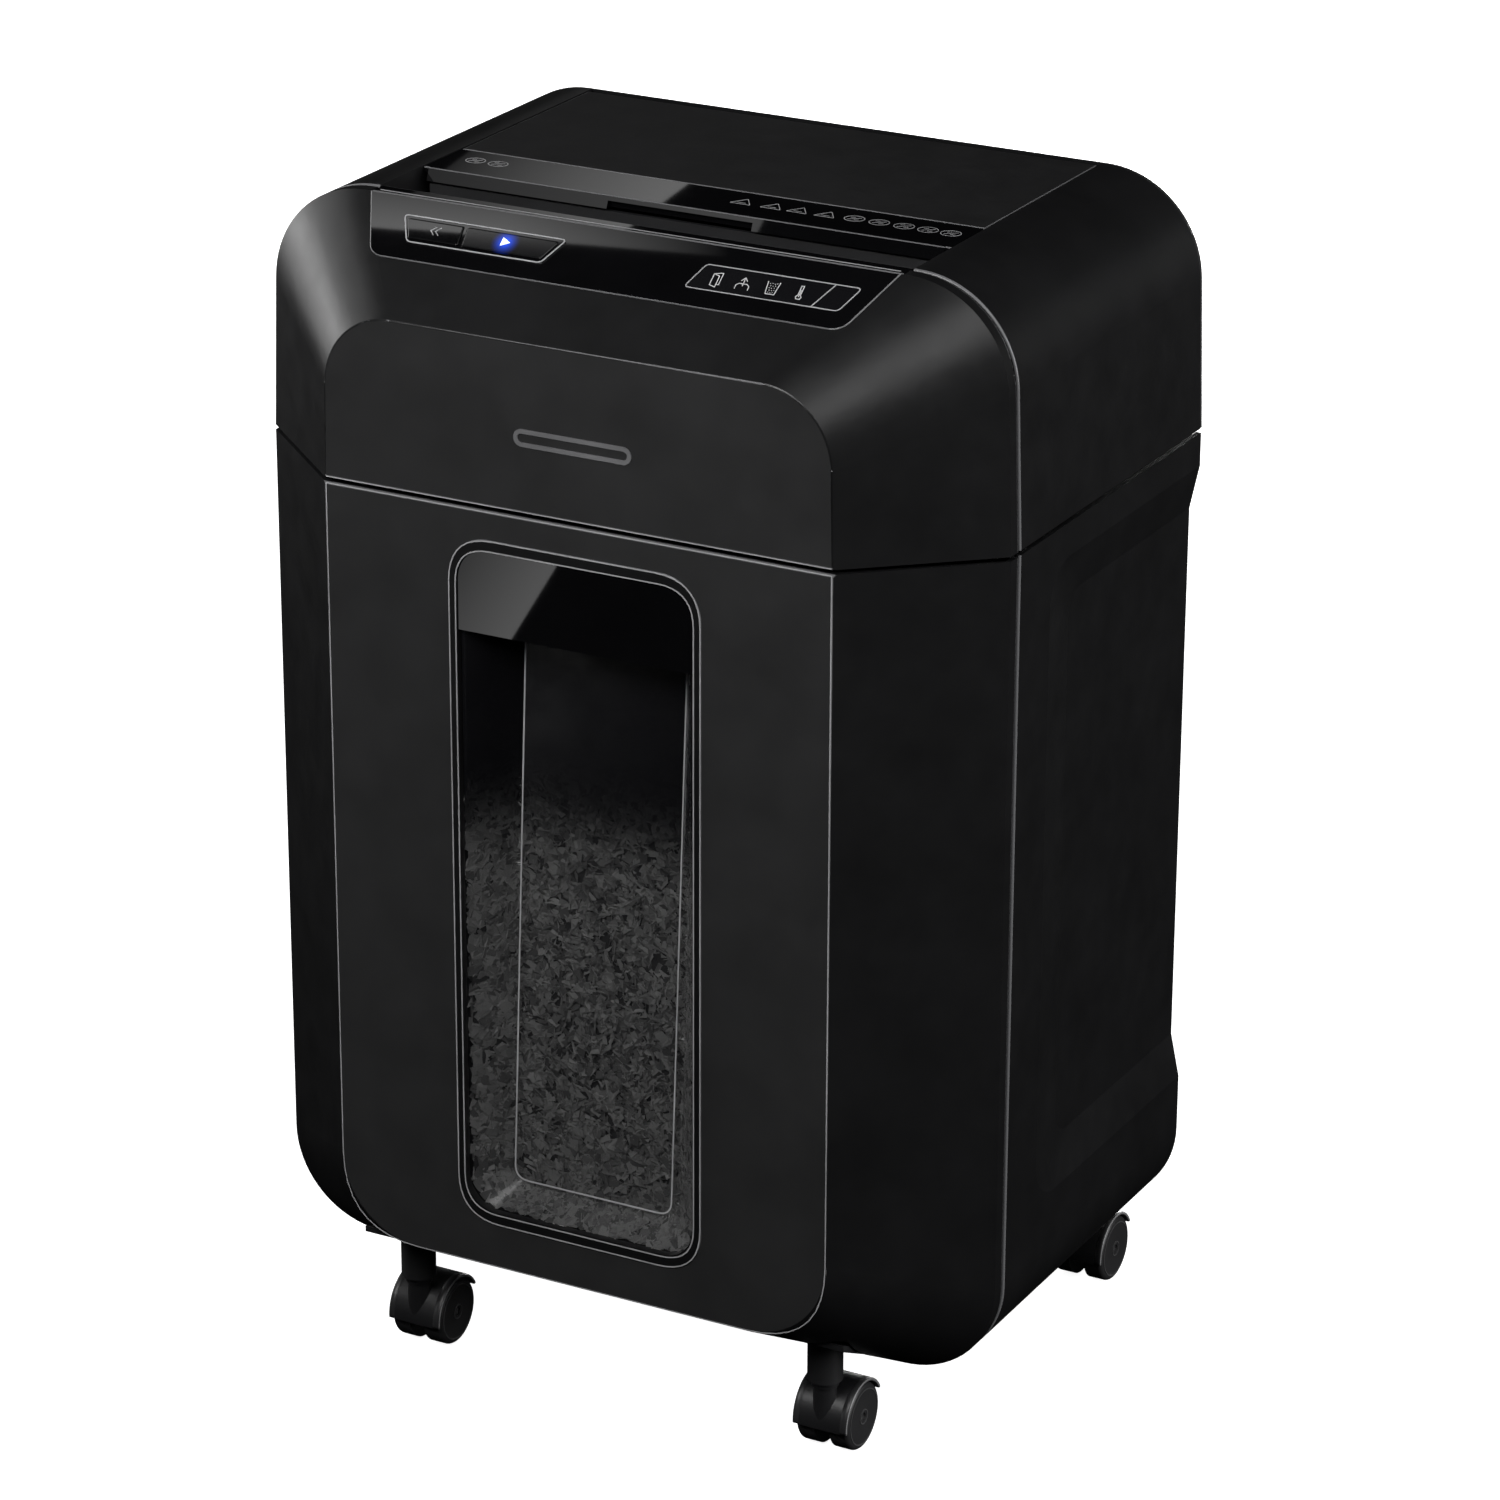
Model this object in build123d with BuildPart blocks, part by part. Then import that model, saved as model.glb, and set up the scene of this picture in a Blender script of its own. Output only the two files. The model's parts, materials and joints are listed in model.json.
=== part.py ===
from build123d import *
import os
from math import atan2, cos, degrees, pi, radians, sin, tan

os.makedirs("parts", exist_ok=True)

# A free-standing paper shredder on four twin-wheel casters, in millimetres.
# The origin is on the floor under the middle, +Z is up and the front faces -Y.

# ---- driving dimensions -------------------------------------------------------
WIDTH = 368.0
DEPTH = 274.0
HEIGHT = 557.3
WALL = 2.5

SEAM_Z = 440.0              # joint between the head and the cabinet
HEAD_LOW = SEAM_Z + 0.8
CABINET_HIGH = SEAM_Z - 1.4
BASE_Z = 47.0               # underside of the cabinet

FRONT_Y = -DEPTH / 2 + 0.6  # flat front panels, just behind the window frame
BACK_Y = DEPTH / 2
SIDE_FRONT_Y = -76.5        # front edge of the side covers
EDGE_Y = SIDE_FRONT_Y - 1.5     # rear edge of the front shells
BEND_Y = SIDE_FRONT_Y - 9.0     # where the slanted cheeks turn into the side band
SIDE_BACK_Y = 111.5         # rear edge of the side covers
PANEL_HALF = 125.5          # half width of the flat front panels
PANEL_HIGH = SEAM_Z + 77.5
PANEL_LOW = 73.0
PANEL_LEAN = 1.5            # the head's front panel narrows by this much on each side
PANEL_TOP_CORNER = 34.0
PANEL_LOW_CORNER = 40.0
HALF = WIDTH / 2
HEAD_LEAN = 4.0             # the head narrows by this much on each side
HEAD_CORNER = 48.0
BASE_CORNER = 45.0
RAIL_X = 131.5              # inner edge of the side covers' top rails
LID_HALF = 130.9
TOP_Z = HEIGHT - 0.2        # top of the lid and of the throat lip

MOVE_GAP = 0.35             # between bodies that move past each other
RUN_FIT = 0.05              # radial clearance of a turning shaft


def at_y(y):
    """Upright sketch plane at depth y, with sketch axes along +X and +Z."""
    return Plane.XZ.offset(-y)


def at_x(x):
    """Upright sketch plane at x, with sketch axes along +Y and +Z."""
    return Plane.YZ.offset(x)


def arch(half, lean, low, high, corner):
    """Head cross-section: flat bottom, leaning sides and two round top corners."""
    with BuildSketch() as outline:
        with BuildLine():
            Polyline((-half, low), (half, low), (half - lean, high), (lean - half, high), close=True)
        make_face()
        fillet(outline.vertices().group_by(Axis.Y)[-1], corner)
    return outline.sketch


def trough(half, low, high, corner):
    """Cabinet cross-section: flat top, upright sides and two round bottom corners."""
    with BuildSketch() as outline:
        with BuildLine():
            Polyline((-half, low), (half, low), (half, high), (-half, high), close=True)
        make_face()
        fillet(outline.vertices().group_by(Axis.Y)[0], corner)
    return outline.sketch


def polygon(points, corner=0.0):
    """Closed outline with all its corners rounded alike."""
    with BuildSketch() as outline:
        with BuildLine():
            Polyline(*points, close=True)
        make_face()
        if corner:
            fillet(outline.vertices(), corner)
    return outline.sketch


def finish(builder, name):
    """Label a finished piece and write its STEP file."""
    builder.part.label = name
    export_step(builder.part, f"parts/{name}.step")


# ---- head shells ----------------------------------------------------------------
SKIRT_FLOOR = HEAD_LOW - 1.0    # hollows are cut from just below the shell's edge
EDGE_ROUND = 1.3

slope_drop = HEIGHT - PANEL_HIGH
slope_run = BEND_Y - FRONT_Y
slope_plane = Plane(origin=(0, BEND_Y, HEIGHT), x_dir=(1, 0, 0), z_dir=(0, -slope_drop, slope_run))

slope_axis = Axis((0, BEND_Y, HEIGHT), slope_plane.z_dir)

PANEL_TOP_HALF = 130.5      # gloss control panel: half width at its upper edge
PANEL_BOTTOM_HALF = 115.5
PANEL_SPAN = 33.0           # its length down the slope
PANEL_CORNER = 9.0
PANEL_PROUD = 0.4


def control_outline(grow):
    """Outline of the control panel on the slope, grown on every side but the top."""
    points = [
        (-PANEL_TOP_HALF - grow, 0),
        (PANEL_TOP_HALF + grow, 0),
        (PANEL_BOTTOM_HALF + grow, -PANEL_SPAN - grow),
        (-PANEL_BOTTOM_HALF - grow, -PANEL_SPAN - grow),
    ]
    with BuildSketch() as outline:
        add(polygon(points))
        fillet(outline.vertices().group_by(Axis.Y)[0], PANEL_CORNER + grow)
    return outline.sketch


with BuildPart() as head_front_cover:
    with BuildSketch(at_y(FRONT_Y)):
        add(arch(PANEL_HALF, PANEL_LEAN, HEAD_LOW, PANEL_HIGH, PANEL_TOP_CORNER))
    with BuildSketch(at_y(BEND_Y)):
        add(arch(HALF, HEAD_LEAN, HEAD_LOW, HEIGHT, HEAD_CORNER))
    loft(ruled=True)
    with BuildSketch(at_y(BEND_Y)):
        add(arch(HALF, HEAD_LEAN, HEAD_LOW, HEIGHT, HEAD_CORNER))
    extrude(amount=BEND_Y - EDGE_Y)
    front_loop = head_front_cover.faces().sort_by(Axis.Y)[0].edges()
    rear_loop = head_front_cover.faces().sort_by(Axis.Y)[-1].edges()
    fillet(front_loop + rear_loop, EDGE_ROUND)
    with BuildSketch(at_y(FRONT_Y + WALL)):
        add(arch(PANEL_HALF - WALL, PANEL_LEAN, SKIRT_FLOOR, PANEL_HIGH - WALL, PANEL_TOP_CORNER - WALL))
    with BuildSketch(at_y(BEND_Y)):
        add(arch(HALF - WALL, HEAD_LEAN, SKIRT_FLOOR, HEIGHT - WALL, HEAD_CORNER - WALL))
    loft(ruled=True, mode=Mode.SUBTRACT)
    with BuildSketch(at_y(BEND_Y)):
        add(arch(HALF - WALL, HEAD_LEAN, SKIRT_FLOOR, HEIGHT - WALL, HEAD_CORNER - WALL))
    extrude(amount=BEND_Y - EDGE_Y - 1, mode=Mode.SUBTRACT)
    # the throat lip takes the place of the top rail between the side covers
    with BuildSketch(at_y(EDGE_Y + 1)):
        with Locations((0, HEIGHT)):
            Rectangle(2 * RAIL_X, 3 * WALL)
    extrude(amount=EDGE_Y + 1 - BEND_Y, mode=Mode.SUBTRACT)
    with BuildSketch(slope_plane.offset(-3 * WALL)):
        add(control_outline(0.15))
    extrude(amount=6 * WALL, mode=Mode.SUBTRACT)
finish(head_front_cover, "head_front_cover")

HINGE_Y = 105.5
HINGE_Z = TOP_Z - 5.8
HINGE_PIN_R = 2.5
RAIL_DEPTH = 22.0           # how far the top rail's inner flange hangs down

with BuildPart() as head_right_cover:
    with BuildSketch(at_y(SIDE_FRONT_Y)):
        add(arch(HALF, HEAD_LEAN, HEAD_LOW, HEIGHT, HEAD_CORNER))
        with Locations((RAIL_X, HEAD_LOW)):
            Rectangle(WIDTH, 2 * HEIGHT, align=(Align.MAX, Align.CENTER), mode=Mode.SUBTRACT)
    extrude(amount=SIDE_FRONT_Y - SIDE_BACK_Y)
    front_rim = head_right_cover.faces().sort_by(Axis.Y)[0].edges()
    rear_rim = head_right_cover.faces().sort_by(Axis.Y)[-1].edges()
    fillet((front_rim + rear_rim).filter_by(Axis.Z, reverse=True).sort_by(Axis.Z)[2:], 1.0)
    with BuildSketch(at_y(SIDE_FRONT_Y - 1)):
        add(arch(HALF - WALL, HEAD_LEAN, SKIRT_FLOOR, HEIGHT - WALL, HEAD_CORNER - WALL))
        with Locations((RAIL_X + WALL, HEAD_LOW)):
            Rectangle(WIDTH, 2 * HEIGHT, align=(Align.MAX, Align.CENTER), mode=Mode.SUBTRACT)
    extrude(amount=SIDE_FRONT_Y - SIDE_BACK_Y - 2, mode=Mode.SUBTRACT)
    with BuildSketch(at_y(SIDE_FRONT_Y - 1)):
        with Locations((RAIL_X, HEIGHT - RAIL_DEPTH)):
            Rectangle(3 * WALL, HEIGHT, align=(Align.CENTER, Align.MAX))
    extrude(amount=SIDE_FRONT_Y - SIDE_BACK_Y - 2, mode=Mode.SUBTRACT)
    with BuildSketch(at_x(RAIL_X - 1)):
        with Locations((HINGE_Y, HINGE_Z)):
            Circle(HINGE_PIN_R + RUN_FIT)
    extrude(amount=2 * WALL, mode=Mode.SUBTRACT)
finish(head_right_cover, "head_right_cover")

with BuildPart() as head_left_cover:
    mirror(head_right_cover.part, about=Plane.YZ)
finish(head_left_cover, "head_left_cover")

REAR_GAP = 0.5
HEAD_REAR_HALF = 156.0
HEAD_REAR_HIGH = 532.0
HEAD_REAR_LEAN = 3.0
HEAD_REAR_CORNER = 36.0
REAR_ROUND = 3.0
LOUVRE_COUNT = 9
LOUVRE_PITCH = 14.0
LOUVRE_LENGTH = 38.0
LOUVRE_WIDTH = 5.0
LOUVRE_X = 60.0
LOUVRE_Z = SEAM_Z + 50
INLET_X = -108.0            # mains inlet and power rocker, low on the back
ROCKER_X = -66.0
BACK_FITTINGS_Z = 472.0
INLET_W = 27.0
INLET_H = 19.6
ROCKER_W = 20.6
ROCKER_H = 13.6

with BuildPart() as head_back_cover:
    with BuildSketch(at_y(SIDE_BACK_Y + REAR_GAP)):
        add(arch(HALF, HEAD_LEAN, HEAD_LOW, HEIGHT, HEAD_CORNER))
    with BuildSketch(at_y(BACK_Y)):
        add(arch(HEAD_REAR_HALF, HEAD_REAR_LEAN, HEAD_LOW, HEAD_REAR_HIGH, HEAD_REAR_CORNER))
    loft(ruled=True)
    fillet(head_back_cover.faces().sort_by(Axis.Y)[-1].edges(), REAR_ROUND)
    with BuildSketch(at_y(SIDE_BACK_Y + REAR_GAP)):
        add(arch(HALF - WALL, HEAD_LEAN, SKIRT_FLOOR, HEIGHT - WALL, HEAD_CORNER - WALL))
    with BuildSketch(at_y(BACK_Y - WALL)):
        inner_corner = HEAD_REAR_CORNER - WALL
        add(arch(HEAD_REAR_HALF - WALL, HEAD_REAR_LEAN, SKIRT_FLOOR, HEAD_REAR_HIGH - WALL, inner_corner))
    loft(ruled=True, mode=Mode.SUBTRACT)
    with BuildSketch(at_y(BACK_Y + 1)):
        with Locations((LOUVRE_X, LOUVRE_Z)):
            with GridLocations(LOUVRE_PITCH, 0, LOUVRE_COUNT, 1):
                SlotOverall(LOUVRE_LENGTH, LOUVRE_WIDTH, rotation=90)
        with Locations((INLET_X, BACK_FITTINGS_Z)):
            RectangleRounded(INLET_W, INLET_H, 3)
        with Locations((ROCKER_X, BACK_FITTINGS_Z)):
            RectangleRounded(ROCKER_W, ROCKER_H, 1)
    extrude(amount=3 * WALL, mode=Mode.SUBTRACT)
finish(head_back_cover, "head_back_cover")

# ---- cabinet shells ---------------------------------------------------------------
RECESS_DEPTH = 4.5          # shallow recess in each side, open to the rear edge
RECESS_FRONT_Y = SIDE_FRONT_Y + 31
RECESS_LOW = SEAM_Z - 321
RECESS_HIGH = SEAM_Z - 17
RECESS_SLOPE_Y = 29         # the border slopes this far in from the front
RECESS_SLOPE_Z = 21         # and this far from above and below
RECESS_CORNER = 20
RECESS_FLOOR_CORNER = 12
CASTER_REAR_X = 137.0
CASTER_REAR_Y = 107.5
SOCKET_R = 8.2


def recess_outline(grow, inset_y, inset_z, corner):
    """Side recess seen from the side, running out past the rear edge."""
    low = (RECESS_FRONT_Y + inset_y - grow, RECESS_LOW + inset_z - grow)
    high = (SIDE_BACK_Y + 40, RECESS_HIGH - inset_z + grow)
    return polygon([low, (high[0], low[1]), high, (low[0], high[1])], corner + grow)


with BuildPart() as cabinet_right_side:
    with BuildSketch(at_y(SIDE_FRONT_Y)):
        add(trough(HALF, BASE_Z, CABINET_HIGH, BASE_CORNER))
        with Locations((HALF - BASE_CORNER, BASE_Z)):
            Rectangle(WIDTH, 2 * HEIGHT, align=(Align.MAX, Align.CENTER), mode=Mode.SUBTRACT)
    extrude(amount=SIDE_FRONT_Y - SIDE_BACK_Y)
    front_rim = cabinet_right_side.faces().sort_by(Axis.Y)[0].edges()
    fillet(front_rim.sort_by(Axis.X)[-2:], 1.0)
    with BuildSketch(at_y(SIDE_FRONT_Y - 1)):
        add(trough(HALF - WALL, BASE_Z + WALL, HEIGHT, BASE_CORNER - WALL))
    extrude(amount=SIDE_FRONT_Y - SIDE_BACK_Y - 2, mode=Mode.SUBTRACT)
    # the wall is pressed inwards round the recess
    with BuildSketch(at_x(HALF - WALL)):
        add(recess_outline(WALL, 0, 0, RECESS_CORNER))
        with Locations((SIDE_BACK_Y, 0)):
            Rectangle(WIDTH, 2 * HEIGHT, align=(Align.MIN, Align.CENTER), mode=Mode.SUBTRACT)
    extrude(amount=-RECESS_DEPTH)
    with BuildSketch(at_x(HALF)):
        add(recess_outline(0, 0, 0, RECESS_CORNER))
    with BuildSketch(at_x(HALF - RECESS_DEPTH)):
        add(recess_outline(0, RECESS_SLOPE_Y, RECESS_SLOPE_Z, RECESS_FLOOR_CORNER))
    loft(ruled=True, mode=Mode.SUBTRACT)
    with BuildSketch(Plane.XY):
        with Locations((CASTER_REAR_X, CASTER_REAR_Y)):
            Circle(SOCKET_R + 0.3)
    extrude(amount=BASE_Z + 10, mode=Mode.SUBTRACT)
finish(cabinet_right_side, "cabinet_right_side")

with BuildPart() as cabinet_left_side:
    mirror(cabinet_right_side.part, about=Plane.YZ)
finish(cabinet_left_side, "cabinet_left_side")

BACK_INSET = RECESS_DEPTH + 0.2
CABINET_REAR_HALF = 150.0
CABINET_REAR_LOW = 62.0
CABINET_REAR_CORNER = 34.0
EAR_R = SOCKET_R + 3.0      # round ears of the base pan over the rear casters
back_half = HALF - BACK_INSET
back_low = BASE_Z + BACK_INSET
back_corner = BASE_CORNER - BACK_INSET

with BuildPart() as cabinet_back:
    with BuildSketch(at_y(SIDE_BACK_Y + REAR_GAP)):
        add(trough(back_half, back_low, CABINET_HIGH, back_corner))
    with BuildSketch(at_y(BACK_Y)):
        add(trough(CABINET_REAR_HALF, CABINET_REAR_LOW, CABINET_HIGH, CABINET_REAR_CORNER))
    loft(ruled=True)
    fillet(cabinet_back.faces().sort_by(Axis.Y)[-1].edges(), REAR_ROUND)
    with BuildSketch(at_y(SIDE_BACK_Y + REAR_GAP)):
        add(trough(back_half - WALL, back_low + WALL, HEIGHT, back_corner - WALL))
    with BuildSketch(at_y(BACK_Y - WALL)):
        add(trough(CABINET_REAR_HALF - WALL, CABINET_REAR_LOW + WALL, HEIGHT, CABINET_REAR_CORNER - WALL))
    loft(ruled=True, mode=Mode.SUBTRACT)
    with BuildSketch(Plane.XY):
        with Locations((CASTER_REAR_X, CASTER_REAR_Y), (-CASTER_REAR_X, CASTER_REAR_Y)):
            Circle(EAR_R + 0.4)
    extrude(amount=BASE_Z + 30, mode=Mode.SUBTRACT)
finish(cabinet_back, "cabinet_back")

# base pan with two sloping arms that carry the front casters under the bin's front
PAN_HALF = HALF - BASE_CORNER - 0.4
PAN_FLOOR = 3.0
WELL_HALF = 112.0           # the pan is thinner inside this shallow well
WELL_DEPTH = 160.0
WELL_CORNER = 8.0
FLANGE_HALF = 146.0
FLANGE_LOW = BASE_Z + 3.9
FLANGE_HIGH = BASE_Z + 6.4
CASTER_FRONT_X = 107.5
CASTER_FRONT_Y = SIDE_FRONT_Y - 24.6
ARM_WIDTH = 36.0
ARM_FRONT_Y = SIDE_FRONT_Y - 42.0
UNDER_SLOPE = (PANEL_LOW - BASE_Z) / slope_run      # rise of the front shell's underside
SOCKET_HIGH = 65.5
STEM_R = 4.0
caster_places = {
    "front_left": (-CASTER_FRONT_X, CASTER_FRONT_Y),
    "front_right": (CASTER_FRONT_X, CASTER_FRONT_Y),
    "rear_left": (-CASTER_REAR_X, CASTER_REAR_Y),
    "rear_right": (CASTER_REAR_X, CASTER_REAR_Y),
}


def under_z(y):
    """Height of the front shell's sloping underside at depth y."""
    return BASE_Z + UNDER_SLOPE * max(BEND_Y - y, 0)


with BuildPart() as base_pan:
    with BuildSketch(at_y(SIDE_FRONT_Y + 1)):
        with Locations((0, BASE_Z)):
            Rectangle(2 * PAN_HALF, FLANGE_HIGH - BASE_Z, align=(Align.CENTER, Align.MIN))
        with Locations((0, FLANGE_LOW)):
            Rectangle(2 * FLANGE_HALF, FLANGE_HIGH - FLANGE_LOW, align=(Align.CENTER, Align.MIN))
    extrude(amount=SIDE_FRONT_Y + 1 - SIDE_BACK_Y)
    with BuildSketch(Plane.XY.offset(BASE_Z + PAN_FLOOR)):
        with Locations((0, (SIDE_FRONT_Y + SIDE_BACK_Y) / 2)):
            RectangleRounded(2 * WELL_HALF, WELL_DEPTH, WELL_CORNER)
    extrude(amount=FLANGE_HIGH - BASE_Z, mode=Mode.SUBTRACT)
    for side in (-1, 1):
        with BuildSketch(at_x(side * CASTER_FRONT_X - ARM_WIDTH / 2)):
            with BuildLine():
                Polyline(
                    (SIDE_FRONT_Y + 2, BASE_Z),
                    (BEND_Y, BASE_Z),
                    (ARM_FRONT_Y, under_z(ARM_FRONT_Y)),
                    (ARM_FRONT_Y, under_z(ARM_FRONT_Y) + PAN_FLOOR),
                    (BEND_Y, FLANGE_HIGH),
                    (SIDE_FRONT_Y + 2, FLANGE_HIGH),
                    close=True,
                )
            make_face()
        extrude(amount=ARM_WIDTH)
        # ears behind the sides' rear edge, over the rear casters
        with BuildSketch(Plane.XY.offset(FLANGE_LOW)):
            with Locations((side * CASTER_REAR_X, CASTER_REAR_Y)):
                Circle(EAR_R)
        extrude(amount=FLANGE_HIGH - FLANGE_LOW)
    with BuildSketch(Plane.XY):
        with Locations(*caster_places.values()):
            Circle(SOCKET_R)
    extrude(amount=SOCKET_HIGH + 10, mode=Mode.SUBTRACT)
finish(base_pan, "base_pan")

COLLAR_LOW = 38.6           # the sockets show below the cabinet as collars

with BuildPart() as caster_sockets:
    with BuildSketch(Plane.XY.offset(COLLAR_LOW)):
        with Locations(*caster_places.values()):
            Circle(SOCKET_R)
            Circle(STEM_R + RUN_FIT, mode=Mode.SUBTRACT)
    extrude(amount=SOCKET_HIGH - COLLAR_LOW)
    with BuildSketch(Plane.XY.offset(SOCKET_HIGH)):
        with Locations(*caster_places.values()):
            Circle(SOCKET_R)
    extrude(amount=2)
finish(caster_sockets, "caster_sockets")

# ---- pull-out bin -------------------------------------------------------------------
TUB_HALF = 160.0
TUB_LOW = 69.3
TUB_HIGH = 424.0
TUB_BACK_Y = 100.0
TUB_FRONT_Y = SIDE_FRONT_Y - 44
TUB_WALL = 2.0
TUB_SILL = 20.0
RAIL_INNER = 116.0
RAIL_WIDTH = 12.0
RAIL_LENGTH = 165.0

with BuildPart() as bin_rails:
    with BuildSketch(Plane.XY.offset(FLANGE_HIGH)):
        for side in (-1, 1):
            with Locations((side * (RAIL_INNER + RAIL_WIDTH / 2), SIDE_FRONT_Y + 4)):
                Rectangle(RAIL_WIDTH, RAIL_LENGTH, align=(Align.CENTER, Align.MIN))
    extrude(amount=TUB_LOW - MOVE_GAP - FLANGE_HIGH)
    chamfer(bin_rails.faces().sort_by(Axis.Z)[-1].edges().filter_by(Axis.X), 3)
finish(bin_rails, "bin_rails")

WINDOW_W = 126.0            # window frame, outside
WINDOW_H = 330.8
WINDOW_Z = SEAM_Z - 179.9
WINDOW_CORNER = 20.0
OPENING_W = 117.4
OPENING_H = 319.5
OPENING_CORNER = 15.7
NECK_W = 121.8              # the frame's neck goes through the panel
NOTCH_SIDE = 1.5            # clearance of the notches over the caster arms
NOTCH_FRONT = 2.0

with BuildPart() as bin_front:
    with BuildSketch(at_y(FRONT_Y)):
        add(trough(PANEL_HALF, PANEL_LOW, CABINET_HIGH, PANEL_LOW_CORNER))
    with BuildSketch(at_y(BEND_Y)):
        add(trough(HALF, BASE_Z, CABINET_HIGH, BASE_CORNER))
    loft(ruled=True)
    with BuildSketch(at_y(BEND_Y)):
        add(trough(HALF, BASE_Z, CABINET_HIGH, BASE_CORNER))
    extrude(amount=BEND_Y - EDGE_Y)
    front_loop = bin_front.faces().sort_by(Axis.Y)[0].edges()
    rear_loop = bin_front.faces().sort_by(Axis.Y)[-1].edges()
    fillet(front_loop + rear_loop, EDGE_ROUND)
    with BuildSketch(at_y(FRONT_Y + WALL)):
        add(trough(PANEL_HALF - WALL, PANEL_LOW + WALL, HEIGHT, PANEL_LOW_CORNER - WALL))
    with BuildSketch(at_y(BEND_Y)):
        add(trough(HALF - WALL, BASE_Z + WALL, HEIGHT, BASE_CORNER - WALL))
    loft(ruled=True, mode=Mode.SUBTRACT)
    with BuildSketch(at_y(BEND_Y)):
        add(trough(HALF - WALL, BASE_Z + WALL, HEIGHT, BASE_CORNER - WALL))
    extrude(amount=BEND_Y - EDGE_Y - 1, mode=Mode.SUBTRACT)
    # notches that pass over the front caster arms
    with BuildSketch(Plane.XY):
        for side in (-1, 1):
            with Locations((side * CASTER_FRONT_X, ARM_FRONT_Y - NOTCH_FRONT)):
                Rectangle(ARM_WIDTH + 2 * NOTCH_SIDE, slope_run, align=(Align.CENTER, Align.MIN))
    extrude(amount=TUB_LOW, mode=Mode.SUBTRACT)
    with BuildSketch(at_y(FRONT_Y - 1)):
        with Locations((0, WINDOW_Z)):
            RectangleRounded(NECK_W + 0.2, WINDOW_H - 4, WINDOW_CORNER - 2)
    extrude(amount=-3 * WALL, mode=Mode.SUBTRACT)
finish(bin_front, "bin_front")

cheek_slope = (HALF - PANEL_HALF) / (slope_run - WALL)      # how fast the shell widens inside
TUB_GAP = 1.2
tub_front_half = PANEL_HALF - WALL + cheek_slope * (TUB_FRONT_Y - FRONT_Y - WALL) - TUB_GAP
tub_turn_y = TUB_FRONT_Y + (TUB_HALF - tub_front_half) / cheek_slope
TUB_CORNERS = (37, 30)      # round bottom corners, in front and behind

with BuildPart() as bin_tub:
    for inset, mode in ((0, Mode.ADD), (TUB_WALL, Mode.SUBTRACT)):
        low = TUB_LOW + inset
        high = TUB_HIGH + inset
        front = trough(tub_front_half - inset * 1.4, low, high, TUB_CORNERS[0] - inset)
        rear = trough(TUB_HALF - inset, low, high, TUB_CORNERS[1] - inset)
        with BuildSketch(at_y(TUB_FRONT_Y + inset)):
            add(front)
        with BuildSketch(at_y(tub_turn_y)):
            add(rear)
        loft(ruled=True, mode=mode)
        with BuildSketch(at_y(tub_turn_y)):
            add(rear)
        extrude(amount=tub_turn_y - TUB_BACK_Y + inset, mode=mode)
    with BuildSketch(at_y(TUB_FRONT_Y - 1)):
        with Locations((0, TUB_LOW + TUB_SILL)):
            Rectangle(2 * tub_front_half - 20, HEIGHT, align=(Align.CENTER, Align.MIN))
    extrude(amount=-3 * TUB_WALL, mode=Mode.SUBTRACT)
finish(bin_tub, "bin_tub")

with BuildPart() as window_bezel:
    with BuildSketch(at_y(-DEPTH / 2)):
        with Locations((0, WINDOW_Z)):
            RectangleRounded(WINDOW_W, WINDOW_H, WINDOW_CORNER)
    extrude(amount=-(FRONT_Y + DEPTH / 2))
    fillet(window_bezel.faces().sort_by(Axis.Y)[0].edges(), 0.4)
    with BuildSketch(at_y(FRONT_Y)):
        with Locations((0, WINDOW_Z)):
            RectangleRounded(NECK_W, WINDOW_H - 4.2, WINDOW_CORNER - 2)
    extrude(amount=-5.5)
    with BuildSketch(at_y(-DEPTH / 2 - 1)):
        with Locations((0, WINDOW_Z + 0.5)):
            RectangleRounded(OPENING_W, OPENING_H, OPENING_CORNER)
    extrude(amount=-10, mode=Mode.SUBTRACT)
finish(window_bezel, "window_bezel")

# smoked pocket: slanted borders round a panel that lies deeper towards the top
POCKET_FRONT_Y = FRONT_Y + 2.4
POCKET_TOP_DEPTH = 30.0
POCKET_BOTTOM_DEPTH = 12.5
POCKET_HALF = 43.0
POCKET_SPAN = 298.0
INSERT_WALL = 2.0
pocket_mid_y = FRONT_Y + (POCKET_TOP_DEPTH + POCKET_BOTTOM_DEPTH) / 2
pocket_tilt = (0, -POCKET_SPAN, POCKET_TOP_DEPTH - POCKET_BOTTOM_DEPTH)
pocket_plane = Plane(origin=(0, pocket_mid_y, WINDOW_Z), x_dir=(1, 0, 0), z_dir=pocket_tilt)

with BuildPart() as window_insert:
    with BuildSketch(at_y(POCKET_FRONT_Y)):
        with Locations((0, WINDOW_Z + 0.5)):
            RectangleRounded(OPENING_W - 0.6, OPENING_H - 0.6, OPENING_CORNER)
    with BuildSketch(pocket_plane.offset(-INSERT_WALL)):
        RectangleRounded(2 * POCKET_HALF, POCKET_SPAN, 8)
    loft(ruled=True)
    with BuildSketch(at_y(POCKET_FRONT_Y)):
        with Locations((0, WINDOW_Z + 0.5)):
            RectangleRounded(OPENING_W - 2 * INSERT_WALL, OPENING_H - 2 * INSERT_WALL, OPENING_CORNER - 2)
    with BuildSketch(pocket_plane):
        RectangleRounded(2 * (POCKET_HALF - INSERT_WALL), POCKET_SPAN - 2 * INSERT_WALL, 6)
    loft(ruled=True, mode=Mode.SUBTRACT)
finish(window_insert, "window_insert")

HANDLE_LOW = SEAM_Z - 58.6
HANDLE_HIGH = SEAM_Z - 19.9
HANDLE_THICK = 2.2
HANDLE_LIP_W = 92.0
HANDLE_LIP = (10.0, 3.0)    # depth and thickness of the lip along its lower edge

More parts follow.
